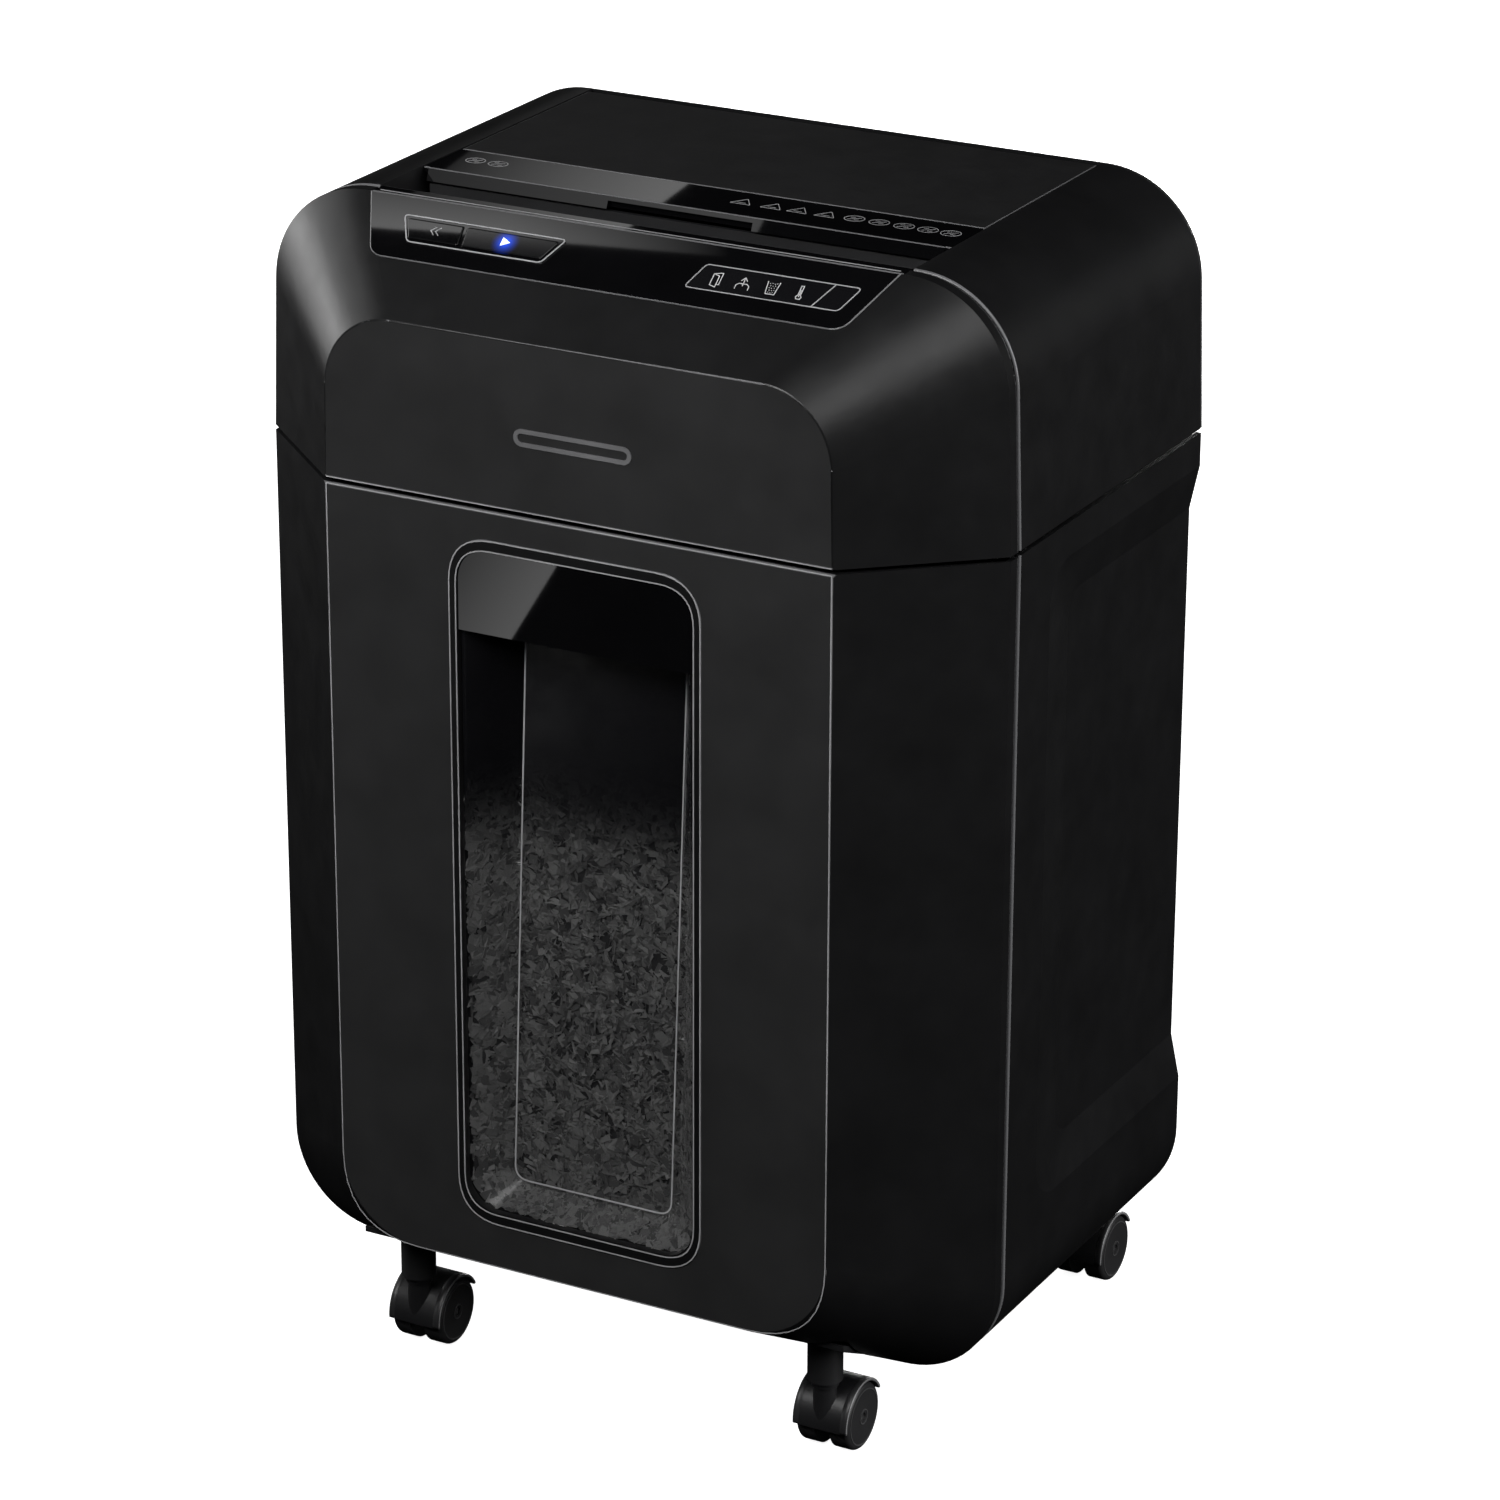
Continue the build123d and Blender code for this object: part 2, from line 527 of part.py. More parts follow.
with BuildPart() as pull_handle:
    with BuildSketch(at_y(FRONT_Y + 0.1)):
        with Locations((0, HANDLE_LOW)):
            Rectangle(OPENING_W - 0.4, HANDLE_HIGH - HANDLE_LOW, align=(Align.CENTER, Align.MIN))
        fillet(vertices().group_by(Axis.Y)[-1], OPENING_CORNER - 0.4)
    extrude(amount=-HANDLE_THICK)
    with BuildSketch(at_y(FRONT_Y + HANDLE_THICK)):
        with Locations((0, HANDLE_LOW)):
            Rectangle(HANDLE_LIP_W, HANDLE_LIP[1], align=(Align.CENTER, Align.MIN))
    extrude(amount=-HANDLE_LIP[0])
    fillet(pull_handle.faces().sort_by(Axis.Y)[-1].edges().filter_by(Axis.X), 1.2)
finish(pull_handle, "pull_handle")

# ---- controls -------------------------------------------------------------------------
BUTTON_PROUD = 1.0
BUTTON_GAP = 0.35
bezel_points = [(-108.2, -9.8), (-26.0, -9.8), (-33.4, -24.0), (-101.0, -24.0)]
lens_points = [(42.2, -10.4), (117.0, -10.4), (110.6, -24.0), (36.4, -24.0)]
REVERSE_SPAN = (-105.4, -77.0)      # left and right ends of each button along its upper edge
AUTO_SPAN = (-75.0, -29.4)
BUTTON_TOP = -11.9
BUTTON_LOW = -21.9
BUTTON_LEANS = {"reverse": (4.6, 1.2), "auto": (1.2, -4.9)}     # how the ends slant towards the lower edge


def button_outline(name, span, grow=0.0):
    """Slanted four-sided button as seen square to the slope, grown on every side."""
    left, right = span
    lean_left, lean_right = BUTTON_LEANS[name]
    points = [
        (left - grow, BUTTON_TOP + grow),
        (right + grow, BUTTON_TOP + grow),
        (right + lean_right + grow, BUTTON_LOW - grow),
        (left + lean_left - grow, BUTTON_LOW - grow),
    ]
    return polygon(points, 1.0)


button_spans = {"reverse": REVERSE_SPAN, "auto": AUTO_SPAN}

with BuildPart() as control_panel:
    with BuildSketch(slope_plane.offset(PANEL_PROUD)):
        add(control_outline(0))
    extrude(amount=-2.8)
    fillet(control_panel.edges().group_by(slope_axis)[-1], 0.5)
    with BuildSketch(slope_plane.offset(PANEL_PROUD + 1)):
        add(polygon(bezel_points, 1.8))
        add(polygon(lens_points, 1.8))
    extrude(amount=-6, mode=Mode.SUBTRACT)
finish(control_panel, "control_panel")

with BuildPart() as button_bezel:
    with BuildSketch(slope_plane.offset(PANEL_PROUD + 0.5)):
        add(polygon(bezel_points, 1.8))
    extrude(amount=-3.4)
    with BuildSketch(slope_plane.offset(PANEL_PROUD + 2)):
        for name, span in button_spans.items():
            add(button_outline(name, span, BUTTON_GAP))
    extrude(amount=-8, mode=Mode.SUBTRACT)
finish(button_bezel, "button_bezel")

with BuildPart() as indicator_lens:
    with BuildSketch(slope_plane.offset(PANEL_PROUD + 0.2)):
        add(polygon(lens_points, 1.8))
    extrude(amount=-2.2)
finish(indicator_lens, "indicator_lens")

BOARD_DEPTH = 7.5
BOARD_SIZE = (212.0, 20.0)
BOARD_T = 1.6
LED_SIZE = (3.2, 2.8)
LED_XS = (49.8, 62.9, 76.6, 90.1)
AUTO_LED_X = -54.0

for name, span in button_spans.items():
    with BuildPart() as button:
        with BuildSketch(slope_plane.offset(PANEL_PROUD + BUTTON_PROUD)):
            add(button_outline(name, span))
        extrude(amount=-5)
        fillet(button.edges().group_by(slope_axis)[-1], 0.5)
    finish(button, f"{name}_button")

with BuildPart() as control_board:
    with BuildSketch(slope_plane.offset(-BOARD_DEPTH)):
        with Locations((4, -18)):
            Rectangle(*BOARD_SIZE)
    extrude(amount=-BOARD_T)
finish(control_board, "control_board")

with BuildPart() as indicator_leds:
    with BuildSketch(slope_plane.offset(-BOARD_DEPTH)):
        with Locations(*[(x, -17.5) for x in (*LED_XS, AUTO_LED_X)]):
            Rectangle(*LED_SIZE)
    extrude(amount=1.6)
finish(indicator_leds, "indicator_leds")

BADGE_SIZE = (58.0, 8.0)
BADGE_LINE = 2.0
BADGE_PROUD = 0.5

with BuildPart() as head_badge:
    with BuildSketch(at_y(FRONT_Y)):
        with Locations((0, SEAM_Z + 35)):
            SlotOverall(*BADGE_SIZE)
            SlotOverall(BADGE_SIZE[0] - 2 * BADGE_LINE, BADGE_SIZE[1] - 2 * BADGE_LINE, mode=Mode.SUBTRACT)
    extrude(amount=BADGE_PROUD)
finish(head_badge, "head_badge")

# ---- throat, tray and lid ---------------------------------------------------------------
THROAT_HALF = 130.6
NIP_Y = SIDE_FRONT_Y + 20       # where the paper enters between the cutters
TRIM_FRONT_Y = SIDE_FRONT_Y + 36
LID_FRONT_Y = SIDE_FRONT_Y + 69.5
TRAY_HALF = 128.0
TRAY_WALL = 2.5
TRAY_HIGH = TOP_Z - 7.3
TRAY_LOW = SEAM_Z + 71
TRAY_BACK_Y = 98.0
TRAY_FLOOR_Y = SIDE_FRONT_Y + 50
SLOT_HALF = 116.0
SHAFT_Y = (NIP_Y - 19, NIP_Y + 19)
SHAFT_Z = SEAM_Z + 34


def yz_solid(points, half, round_edges=0.0):
    """A constant section in the YZ plane, running from -half to +half along X."""
    with BuildPart() as bar:
        with BuildSketch(at_x(-half)):
            add(polygon(points, round_edges))
        extrude(amount=2 * half)
    return bar.part


RAMP_HALF = 120.8           # the ramp below the lip fits between the cutter plates
RAMP_TOP = TRAY_LOW + 1
LEDGE_Z = TOP_Z - 12        # small ledges close the ends of the throat
LEDGE_Y = SIDE_FRONT_Y + 3
LEDGE_DEPTH = 31.0
LEDGE_INNER = 113.0

with BuildPart() as throat_front_guide:
    lip = [
        (BEND_Y + 2.9, TOP_Z - 3.2),
        (BEND_Y + 0.4, TOP_Z),
        (SIDE_FRONT_Y + 1.4, TOP_Z),
        (SIDE_FRONT_Y + 3.4, TOP_Z - 6),
        (NIP_Y - 4.5, SHAFT_Z + 25),
        (NIP_Y - 7.5, SHAFT_Z + 25),
        (SIDE_FRONT_Y + 0.2, TOP_Z - 9),
        (SIDE_FRONT_Y - 2.0, TOP_Z - 3.2),
    ]
    add(yz_solid(lip, THROAT_HALF))
    fillet(throat_front_guide.edges().filter_by(Axis.X).group_by(Axis.Z)[-1], 0.8)
    for end_x in (-RAMP_HALF - HALF, RAMP_HALF):
        with BuildSketch(at_x(end_x)):
            with Locations((NIP_Y, RAMP_TOP)):
                Rectangle(HALF, HALF, align=(Align.CENTER, Align.MAX))
        extrude(amount=HALF, mode=Mode.SUBTRACT)
    for side in (-1, 1):
        with BuildSketch(Plane.XY.offset(LEDGE_Z)):
            with Locations((side * (LEDGE_INNER + THROAT_HALF) / 2, LEDGE_Y)):
                Rectangle(THROAT_HALF - LEDGE_INNER, LEDGE_DEPTH, align=(Align.CENTER, Align.MIN))
        extrude(amount=-2)
finish(throat_front_guide, "throat_front_guide")

ROLLER_XS = (-34, 34)
ROLLER_WIDTH = 20.0
ROLLER_R = 15.5
FEED_MODULE = 1.5
FEED_TEETH = 27
FEED_Y = SIDE_FRONT_Y + 70
feed_rise = FEED_MODULE * FEED_TEETH
FEED_Z = SHAFT_Z + (feed_rise**2 - (FEED_Y - SHAFT_Y[1]) ** 2) ** 0.5

with BuildPart() as paper_tray:
    with BuildSketch(Plane.XY.offset(TRAY_LOW)):
        with Locations((0, TRIM_FRONT_Y)):
            Rectangle(2 * TRAY_HALF, TRAY_BACK_Y - TRIM_FRONT_Y, align=(Align.CENTER, Align.MIN))
    extrude(amount=TRAY_HIGH - TRAY_LOW)
    with BuildSketch(Plane.XY.offset(TRAY_LOW + TRAY_WALL)):
        with Locations((0, TRIM_FRONT_Y + TRAY_WALL)):
            Rectangle(
                2 * (TRAY_HALF - TRAY_WALL),
                TRAY_BACK_Y - TRIM_FRONT_Y - 2 * TRAY_WALL,
                align=(Align.CENTER, Align.MIN),
            )
    extrude(amount=TRAY_HIGH, mode=Mode.SUBTRACT)
    # slot in front of the floor, where the sheets go down to the cutters
    with BuildSketch(Plane.XY.offset(TRAY_LOW - 1)):
        with Locations((0, TRIM_FRONT_Y + TRAY_WALL)):
            Rectangle(2 * SLOT_HALF, TRAY_FLOOR_Y - TRIM_FRONT_Y - TRAY_WALL, align=(Align.CENTER, Align.MIN))
        with Locations(*[(x, FEED_Y) for x in ROLLER_XS]):
            Rectangle(ROLLER_WIDTH + 3, 2 * ROLLER_R + 2)
    extrude(amount=TRAY_WALL + 2, mode=Mode.SUBTRACT)
    deflector = [
        (TRIM_FRONT_Y, TRAY_LOW + 2),
        (TRIM_FRONT_Y, TRAY_LOW - 2),
        (NIP_Y + 5, SHAFT_Z + 24),
        (NIP_Y + 7, SHAFT_Z + 23),
        (TRIM_FRONT_Y + TRAY_WALL, TRAY_LOW - 2),
        (TRIM_FRONT_Y + TRAY_WALL, TRAY_LOW + 2),
    ]
    add(yz_solid(deflector, SLOT_HALF))
finish(paper_tray, "paper_tray")

LID_SKIN = 2.5
SKIRT_LOW = TOP_Z - 12

with BuildPart() as lid_panel:
    with BuildSketch(at_x(-LID_HALF)):
        with Locations((HINGE_Y, HINGE_Z)):
            Circle(TOP_Z - HINGE_Z)
        with Locations((LID_FRONT_Y, TOP_Z)):
            Rectangle(HINGE_Y - LID_FRONT_Y, LID_SKIN, align=(Align.MIN, Align.MAX))
    extrude(amount=2 * LID_HALF)
    for side in (-1, 1):
        with BuildSketch(at_x(side * (LID_HALF - LID_SKIN / 2) - LID_SKIN / 2)):
            with Locations((LID_FRONT_Y, TOP_Z)):
                Rectangle(HINGE_Y - LID_FRONT_Y, TOP_Z - SKIRT_LOW, align=(Align.MIN, Align.MAX))
        extrude(amount=LID_SKIN)
    with BuildSketch(at_x(-LID_HALF - 1)):
        with Locations((HINGE_Y, HINGE_Z)):
            Circle(HINGE_PIN_R)
    extrude(amount=7, mode=Mode.SUBTRACT)
    with BuildSketch(at_x(LID_HALF - 6)):
        with Locations((HINGE_Y, HINGE_Z)):
            Circle(HINGE_PIN_R)
    extrude(amount=7, mode=Mode.SUBTRACT)
    fillet(lid_panel.faces().sort_by(Axis.Z)[-1].edges(), 0.6)
finish(lid_panel, "lid_panel")

SCOOP_HALF = 36.0

with BuildPart() as lid_trim:
    strip = [
        (TRIM_FRONT_Y, TOP_Z),
        (TRIM_FRONT_Y - 2.4, TOP_Z - 5.6),
        (TRIM_FRONT_Y + 4.0, TOP_Z - 5.6),
        (TRIM_FRONT_Y + 6.0, TOP_Z - LID_SKIN),
        (LID_FRONT_Y - 3, TOP_Z - LID_SKIN),
        (LID_FRONT_Y - 3, TOP_Z - LID_SKIN - 2.2),
        (LID_FRONT_Y + 8, TOP_Z - LID_SKIN - 2.2),
        (LID_FRONT_Y + 8, TOP_Z - LID_SKIN),
        (LID_FRONT_Y - 0.2, TOP_Z - LID_SKIN),
        (LID_FRONT_Y - 0.2, TOP_Z),
    ]
    add(yz_solid(strip, LID_HALF - LID_SKIN - 0.2))
    with BuildSketch(at_x(-LID_HALF)):
        with Locations((TRIM_FRONT_Y + 0.6, TOP_Z)):
            Rectangle(LID_FRONT_Y - TRIM_FRONT_Y - 0.8, LID_SKIN, align=(Align.MIN, Align.MAX))
    extrude(amount=2 * LID_HALF)
    fillet(lid_trim.faces().sort_by(Axis.Z)[-1].edges().filter_by(Axis.X), 0.6)
    with BuildSketch(at_y(TRIM_FRONT_Y - 4)):
        with Locations((0, TOP_Z - 5.6)):
            Rectangle(2 * SCOOP_HALF, 3.4, align=(Align.CENTER, Align.MIN))
    extrude(amount=-5.4, mode=Mode.SUBTRACT)
finish(lid_trim, "lid_trim")

with BuildPart() as lid_hinge_pins:
    with BuildSketch(at_x(LID_HALF - 6)):
        with Locations((HINGE_Y, HINGE_Z)):
            Circle(HINGE_PIN_R)
    extrude(amount=9.0)
    mirror(lid_hinge_pins.part, about=Plane.YZ)
finish(lid_hinge_pins, "lid_hinge_pins")

# ---- cutting block ------------------------------------------------------------------------
PLATE_X = 121.6             # inner face of the side plates
PLATE_T = 3.0
CUT_HALF = 112.0
DISC_PITCH = 8.0
DISC_T = 3.6
DISC_R = 20.3
DRUM_R = 13.0
DISC_NOTCHES = 8
NOTCH_SIZE = (3.6, 3.0)
NOTCH_TURN = 35
FIRST_DISC_X = -CUT_HALF + 0.2      # left face of the front shaft's first disc
JOURNAL_R = 5.0
FEED_SHAFT_R = 4.0
BUSH_WALL = 2.0
BUSH_LENGTH = 5.0
GEAR_X = PLATE_X + PLATE_T + 3.4
GEAR_T = 10.0
FRAME_LOW = HEAD_LOW + 0.2
FRAME_HIGH = SEAM_Z + 5
PRESSURE_ANGLE = radians(25)
BACKLASH = 0.16

CUTTER_MODULE = 2.0
CUTTER_TEETH = 19
PINION_TEETH = 12
MOTOR_MODULE = 1.5
MOTOR_TEETH = 12
REDUCTION_TEETH = 48
REDUCTION_ANGLE = 20.8      # direction from the rear cutter to the reduction gear
REDUCTION_REACH = CUTTER_MODULE * (CUTTER_TEETH + PINION_TEETH) / 2
REDUCTION_Y = SHAFT_Y[1] + REDUCTION_REACH * cos(radians(REDUCTION_ANGLE))
REDUCTION_Z = SHAFT_Z + REDUCTION_REACH * sin(radians(REDUCTION_ANGLE))
MOTOR_Y = REDUCTION_Y + MOTOR_MODULE * (MOTOR_TEETH + REDUCTION_TEETH) / 2
MOTOR_Z = REDUCTION_Z
MOTOR_R = 24.0
GEAR_SHAFT_R = 4.0
FEED_ANGLE = degrees(atan2(FEED_Z - SHAFT_Z, FEED_Y - SHAFT_Y[1]))


def gear_outline(module, teeth, tooth_angle):
    """Spur gear outline with involute flanks; one tooth points along tooth_angle, in degrees."""
    pitch_r = module * teeth / 2
    base_r = pitch_r * cos(PRESSURE_ANGLE)
    tip_r = pitch_r + 0.9 * module
    root_r = pitch_r - 1.2 * module
    involute = tan(PRESSURE_ANGLE) - PRESSURE_ANGLE
    base_half = pi / (2 * teeth) - BACKLASH / (2 * pitch_r) + involute
    start_r = max(base_r, root_r)
    flank = []
    for step in range(5):
        r = start_r + (tip_r - start_r) * step / 4
        roll = ((r / base_r) ** 2 - 1) ** 0.5
        flank.append((r, base_half - (roll - atan2(roll, 1))))
    if root_r < base_r:
        flank.insert(0, (root_r, base_half))
    points = []
    for tooth in range(teeth):
        middle = radians(tooth_angle) + 2 * pi * tooth / teeth
        points += [(r * cos(middle - a), r * sin(middle - a)) for r, a in flank]
        points += [(r * cos(middle + a), r * sin(middle + a)) for r, a in reversed(flank)]
    return polygon(points)


def meshing_angle(teeth, tooth_angle, direction, other_teeth):
    """Tooth angle that puts a gear, lying in the given direction, in mesh with the first one."""
    phase = (direction - tooth_angle) * teeth / 360
    return direction + 180 - (0.5 - phase) * 360 / other_teeth


def gear(module, teeth, tooth_angle, x, y, z, width, bore_r):
    """Gear solid from x to x + width on an axis along X through (y, z)."""
    with BuildPart() as wheel:
        with BuildSketch(at_x(x)):
            with Locations((y, z)):
                add(gear_outline(module, teeth, tooth_angle))
                Circle(bore_r, mode=Mode.SUBTRACT)
        extrude(amount=width)
    return wheel.part


FRONT_TOOTH = 0.0
rear_tooth = meshing_angle(CUTTER_TEETH, FRONT_TOOTH, 0, CUTTER_TEETH)
pinion_tooth = meshing_angle(CUTTER_TEETH, rear_tooth, REDUCTION_ANGLE, PINION_TEETH)
REDUCTION_TOOTH = 0.0
motor_tooth = meshing_angle(REDUCTION_TEETH, REDUCTION_TOOTH, 0, MOTOR_TEETH)
FEED_DRIVE_TOOTH = 0.0
feed_tooth = meshing_angle(FEED_TEETH, FEED_DRIVE_TOOTH, FEED_ANGLE, FEED_TEETH)
BIG_GEAR_X = GEAR_X + GEAR_T + 2
FEED_GEAR_T = GEAR_T - 1
FEED_GEAR_X = -GEAR_X - GEAR_T - 1


def cutter(y, first_x, left_end, right_end):
    """Cutter shaft: journals, a drum and a row of notched discs."""
    disc_count = int(2 * CUT_HALF / DISC_PITCH)
    with BuildPart() as shaft:
        with BuildSketch(at_x(left_end)):
            with Locations((y, SHAFT_Z)):
                Circle(JOURNAL_R)
        extrude(amount=right_end - left_end)
        with BuildSketch(at_x(-CUT_HALF - 1)):
            with Locations((y, SHAFT_Z)):
                Circle(DRUM_R)
        extrude(amount=2 * CUT_HALF + 2)
        with BuildSketch(mode=Mode.PRIVATE) as disc:
            Circle(DISC_R)
            with PolarLocations(DISC_R, DISC_NOTCHES):
                Rectangle(*NOTCH_SIZE, rotation=NOTCH_TURN, mode=Mode.SUBTRACT)
        for index in range(disc_count):
            with BuildSketch(at_x(first_x + index * DISC_PITCH)):
                with Locations((y, SHAFT_Z)):
                    add(disc.sketch)
        extrude(amount=DISC_T)
    return shaft.part


with BuildPart() as front_cutter:
    add(cutter(SHAFT_Y[0], FIRST_DISC_X, -PLATE_X - PLATE_T - 1, GEAR_X + GEAR_T))
finish(front_cutter, "front_cutter")

with BuildPart() as rear_cutter:
    add(cutter(SHAFT_Y[1], FIRST_DISC_X + DISC_PITCH / 2, FEED_GEAR_X, GEAR_X + GEAR_T))
finish(rear_cutter, "rear_cutter")

with BuildPart() as front_cutter_gear:
    add(gear(CUTTER_MODULE, CUTTER_TEETH, FRONT_TOOTH, GEAR_X, SHAFT_Y[0], SHAFT_Z, GEAR_T, JOURNAL_R))
finish(front_cutter_gear, "front_cutter_gear")

with BuildPart() as rear_cutter_gear:
    add(gear(CUTTER_MODULE, CUTTER_TEETH, rear_tooth, GEAR_X, SHAFT_Y[1], SHAFT_Z, GEAR_T, JOURNAL_R))
finish(rear_cutter_gear, "rear_cutter_gear")

with BuildPart() as feed_drive_gear:
    add(gear(FEED_MODULE, FEED_TEETH, FEED_DRIVE_TOOTH, FEED_GEAR_X, SHAFT_Y[1], SHAFT_Z, FEED_GEAR_T, JOURNAL_R))
finish(feed_drive_gear, "feed_drive_gear")

with BuildPart() as feed_gear:
    add(gear(FEED_MODULE, FEED_TEETH, feed_tooth, FEED_GEAR_X, FEED_Y, FEED_Z, FEED_GEAR_T, FEED_SHAFT_R))
finish(feed_gear, "feed_gear")

with BuildPart() as feed_shaft:
    with BuildSketch(at_x(FEED_GEAR_X)):
        with Locations((FEED_Y, FEED_Z)):
            Circle(FEED_SHAFT_R)
    extrude(amount=PLATE_X + PLATE_T + 1 - FEED_GEAR_X)
finish(feed_shaft, "feed_shaft")

with BuildPart() as feed_rollers:
    for x in ROLLER_XS:
        with BuildSketch(at_x(x - ROLLER_WIDTH / 2)):
            with Locations((FEED_Y, FEED_Z)):
                Circle(ROLLER_R)
                Circle(FEED_SHAFT_R, mode=Mode.SUBTRACT)
        extrude(amount=ROLLER_WIDTH)
finish(feed_rollers, "feed_rollers")

BIG_GEAR_T = 8.0
REDUCTION_AXIS = (REDUCTION_Y, REDUCTION_Z)
big_gear = gear(
    MOTOR_MODULE, REDUCTION_TEETH, REDUCTION_TOOTH, BIG_GEAR_X, *REDUCTION_AXIS, BIG_GEAR_T, GEAR_SHAFT_R
)
small_gear = gear(
    CUTTER_MODULE, PINION_TEETH, pinion_tooth, GEAR_X, *REDUCTION_AXIS, BIG_GEAR_X - GEAR_X, GEAR_SHAFT_R
)

with BuildPart() as reduction_gear:
    add(big_gear)
    add(small_gear)
    with BuildSketch(at_x(PLATE_X - 1)):
        with Locations((REDUCTION_Y, REDUCTION_Z)):
            Circle(GEAR_SHAFT_R)
    extrude(amount=BIG_GEAR_X + BIG_GEAR_T + 2 - PLATE_X)
finish(reduction_gear, "reduction_gear")

MOTOR_LEFT_X = 34.0
MOTOR_BOSS_R = 8.0
MOTOR_BORE = 15.0
SCREW_R = 1.6
SCREW_HEAD_R = 3.2
SCREW_HEAD_T = 2.2
SCREW_DEEP = 9.0            # thread inside the motor's end face
screw_places = [
    (MOTOR_Y + 17 * cos(radians(angle)), MOTOR_Z + 17 * sin(radians(angle))) for angle in (90, 210, 330)
]

with BuildPart() as motor_pinion:
    add(gear(MOTOR_MODULE, MOTOR_TEETH, motor_tooth, BIG_GEAR_X - 1, MOTOR_Y, MOTOR_Z, 10, GEAR_SHAFT_R))
    with BuildSketch(at_x(PLATE_X - MOTOR_BORE + 1)):
        with Locations((MOTOR_Y, MOTOR_Z)):
            Circle(GEAR_SHAFT_R)
    extrude(amount=BIG_GEAR_X + 8 + MOTOR_BORE - PLATE_X)
finish(motor_pinion, "motor_pinion")

with BuildPart() as motor_body:
    with BuildSketch(at_x(MOTOR_LEFT_X)):
        with Locations((MOTOR_Y, MOTOR_Z)):
            Circle(MOTOR_R)
    extrude(amount=PLATE_X - MOTOR_LEFT_X)
    fillet(motor_body.faces().sort_by(Axis.X)[0].edges(), 3)
    with BuildSketch(at_x(MOTOR_LEFT_X - 6)):
        with Locations((MOTOR_Y, MOTOR_Z)):
            Circle(MOTOR_BOSS_R)
    extrude(amount=6)
    with BuildSketch(at_x(PLATE_X - MOTOR_BORE)):
        with Locations((MOTOR_Y, MOTOR_Z)):
            Circle(GEAR_SHAFT_R + RUN_FIT)
    extrude(amount=MOTOR_BORE + 1, mode=Mode.SUBTRACT)
    with BuildSketch(at_x(PLATE_X - SCREW_DEEP)):
        with Locations(*screw_places):
            Circle(SCREW_R)
    extrude(amount=SCREW_DEEP + 1, mode=Mode.SUBTRACT)
finish(motor_body, "motor_body")

with BuildPart() as motor_screws:
    with BuildSketch(at_x(PLATE_X - SCREW_DEEP)):
        with Locations(*screw_places):
            Circle(SCREW_R)
    extrude(amount=SCREW_DEEP + PLATE_T)
    with BuildSketch(at_x(PLATE_X + PLATE_T)):
        with Locations(*screw_places):
            Circle(SCREW_HEAD_R)
    extrude(amount=SCREW_HEAD_T)
    fillet(motor_screws.faces().sort_by(Axis.X)[-3:].edges(), 0.8)
finish(motor_screws, "motor_screws")

PLATE_FRONT_Y = SHAFT_Y[0] - 26
PLATE_HIGH = TRAY_LOW - 0.6

ROD_R = 4.0
rod_places = [
    (SHAFT_Y[0] - 20, SHAFT_Z - 20),
    (SHAFT_Y[0] - 20, SHAFT_Z + 20),
    (SHAFT_Y[1] + 20, SHAFT_Z - 20),
]
bush_places = [
    (SHAFT_Y[0], SHAFT_Z, JOURNAL_R),
    (SHAFT_Y[1], SHAFT_Z, JOURNAL_R),
    (FEED_Y, FEED_Z, FEED_SHAFT_R),
]


def cutter_plate(inner_x, back_y, drive_holes=(), screw_holes=()):
    """Side plate of the cutting block, with the holes for its bushes, drive shafts and screws."""
    with BuildPart() as plate:
        with BuildSketch(at_x(inner_x)):
            with Locations((PLATE_FRONT_Y, FRAME_HIGH)):
                Rectangle(back_y - PLATE_FRONT_Y, PLATE_HIGH - FRAME_HIGH, align=(Align.MIN, Align.MIN))
            for y, z, shaft_r in bush_places:
                with Locations((y, z)):
                    Circle(shaft_r + BUSH_WALL, mode=Mode.SUBTRACT)
            for y, z in drive_holes:
                with Locations((y, z)):
                    Circle(GEAR_SHAFT_R + RUN_FIT, mode=Mode.SUBTRACT)
            for y, z in screw_holes:
                with Locations((y, z)):
                    Circle(SCREW_R, mode=Mode.SUBTRACT)
        extrude(amount=PLATE_T)
    return plate.part


with BuildPart() as cutter_plate_right:
    drive_places = [(REDUCTION_Y, REDUCTION_Z), (MOTOR_Y, MOTOR_Z)]
    add(cutter_plate(PLATE_X, MOTOR_Y + MOTOR_R + 3, drive_places, screw_places))
finish(cutter_plate_right, "cutter_plate_right")

with BuildPart() as cutter_plate_left:
    add(cutter_plate(-PLATE_X - PLATE_T, FEED_Y + 16))
finish(cutter_plate_left, "cutter_plate_left")

with BuildPart() as shaft_bushes:
    for middle_x in (-PLATE_X - PLATE_T / 2, PLATE_X + PLATE_T / 2):
        for y, z, shaft_r in bush_places:
            with BuildSketch(at_x(middle_x - BUSH_LENGTH / 2)):
                with Locations((y, z)):
                    Circle(shaft_r + BUSH_WALL)
                    Circle(shaft_r + RUN_FIT, mode=Mode.SUBTRACT)
            extrude(amount=BUSH_LENGTH)
finish(shaft_bushes, "shaft_bushes")

with BuildPart() as tie_rods:
    with BuildSketch(at_x(-PLATE_X)):
        with Locations(*rod_places):
            Circle(ROD_R)
    extrude(amount=2 * PLATE_X)
finish(tie_rods, "tie_rods")

COMB_GAP = 0.8
COMB_HIGH = 18.0
BEAM_T = 3.0
FINGER_T = 2.8
comb_count = int(2 * CUT_HALF / DISC_PITCH) - 1

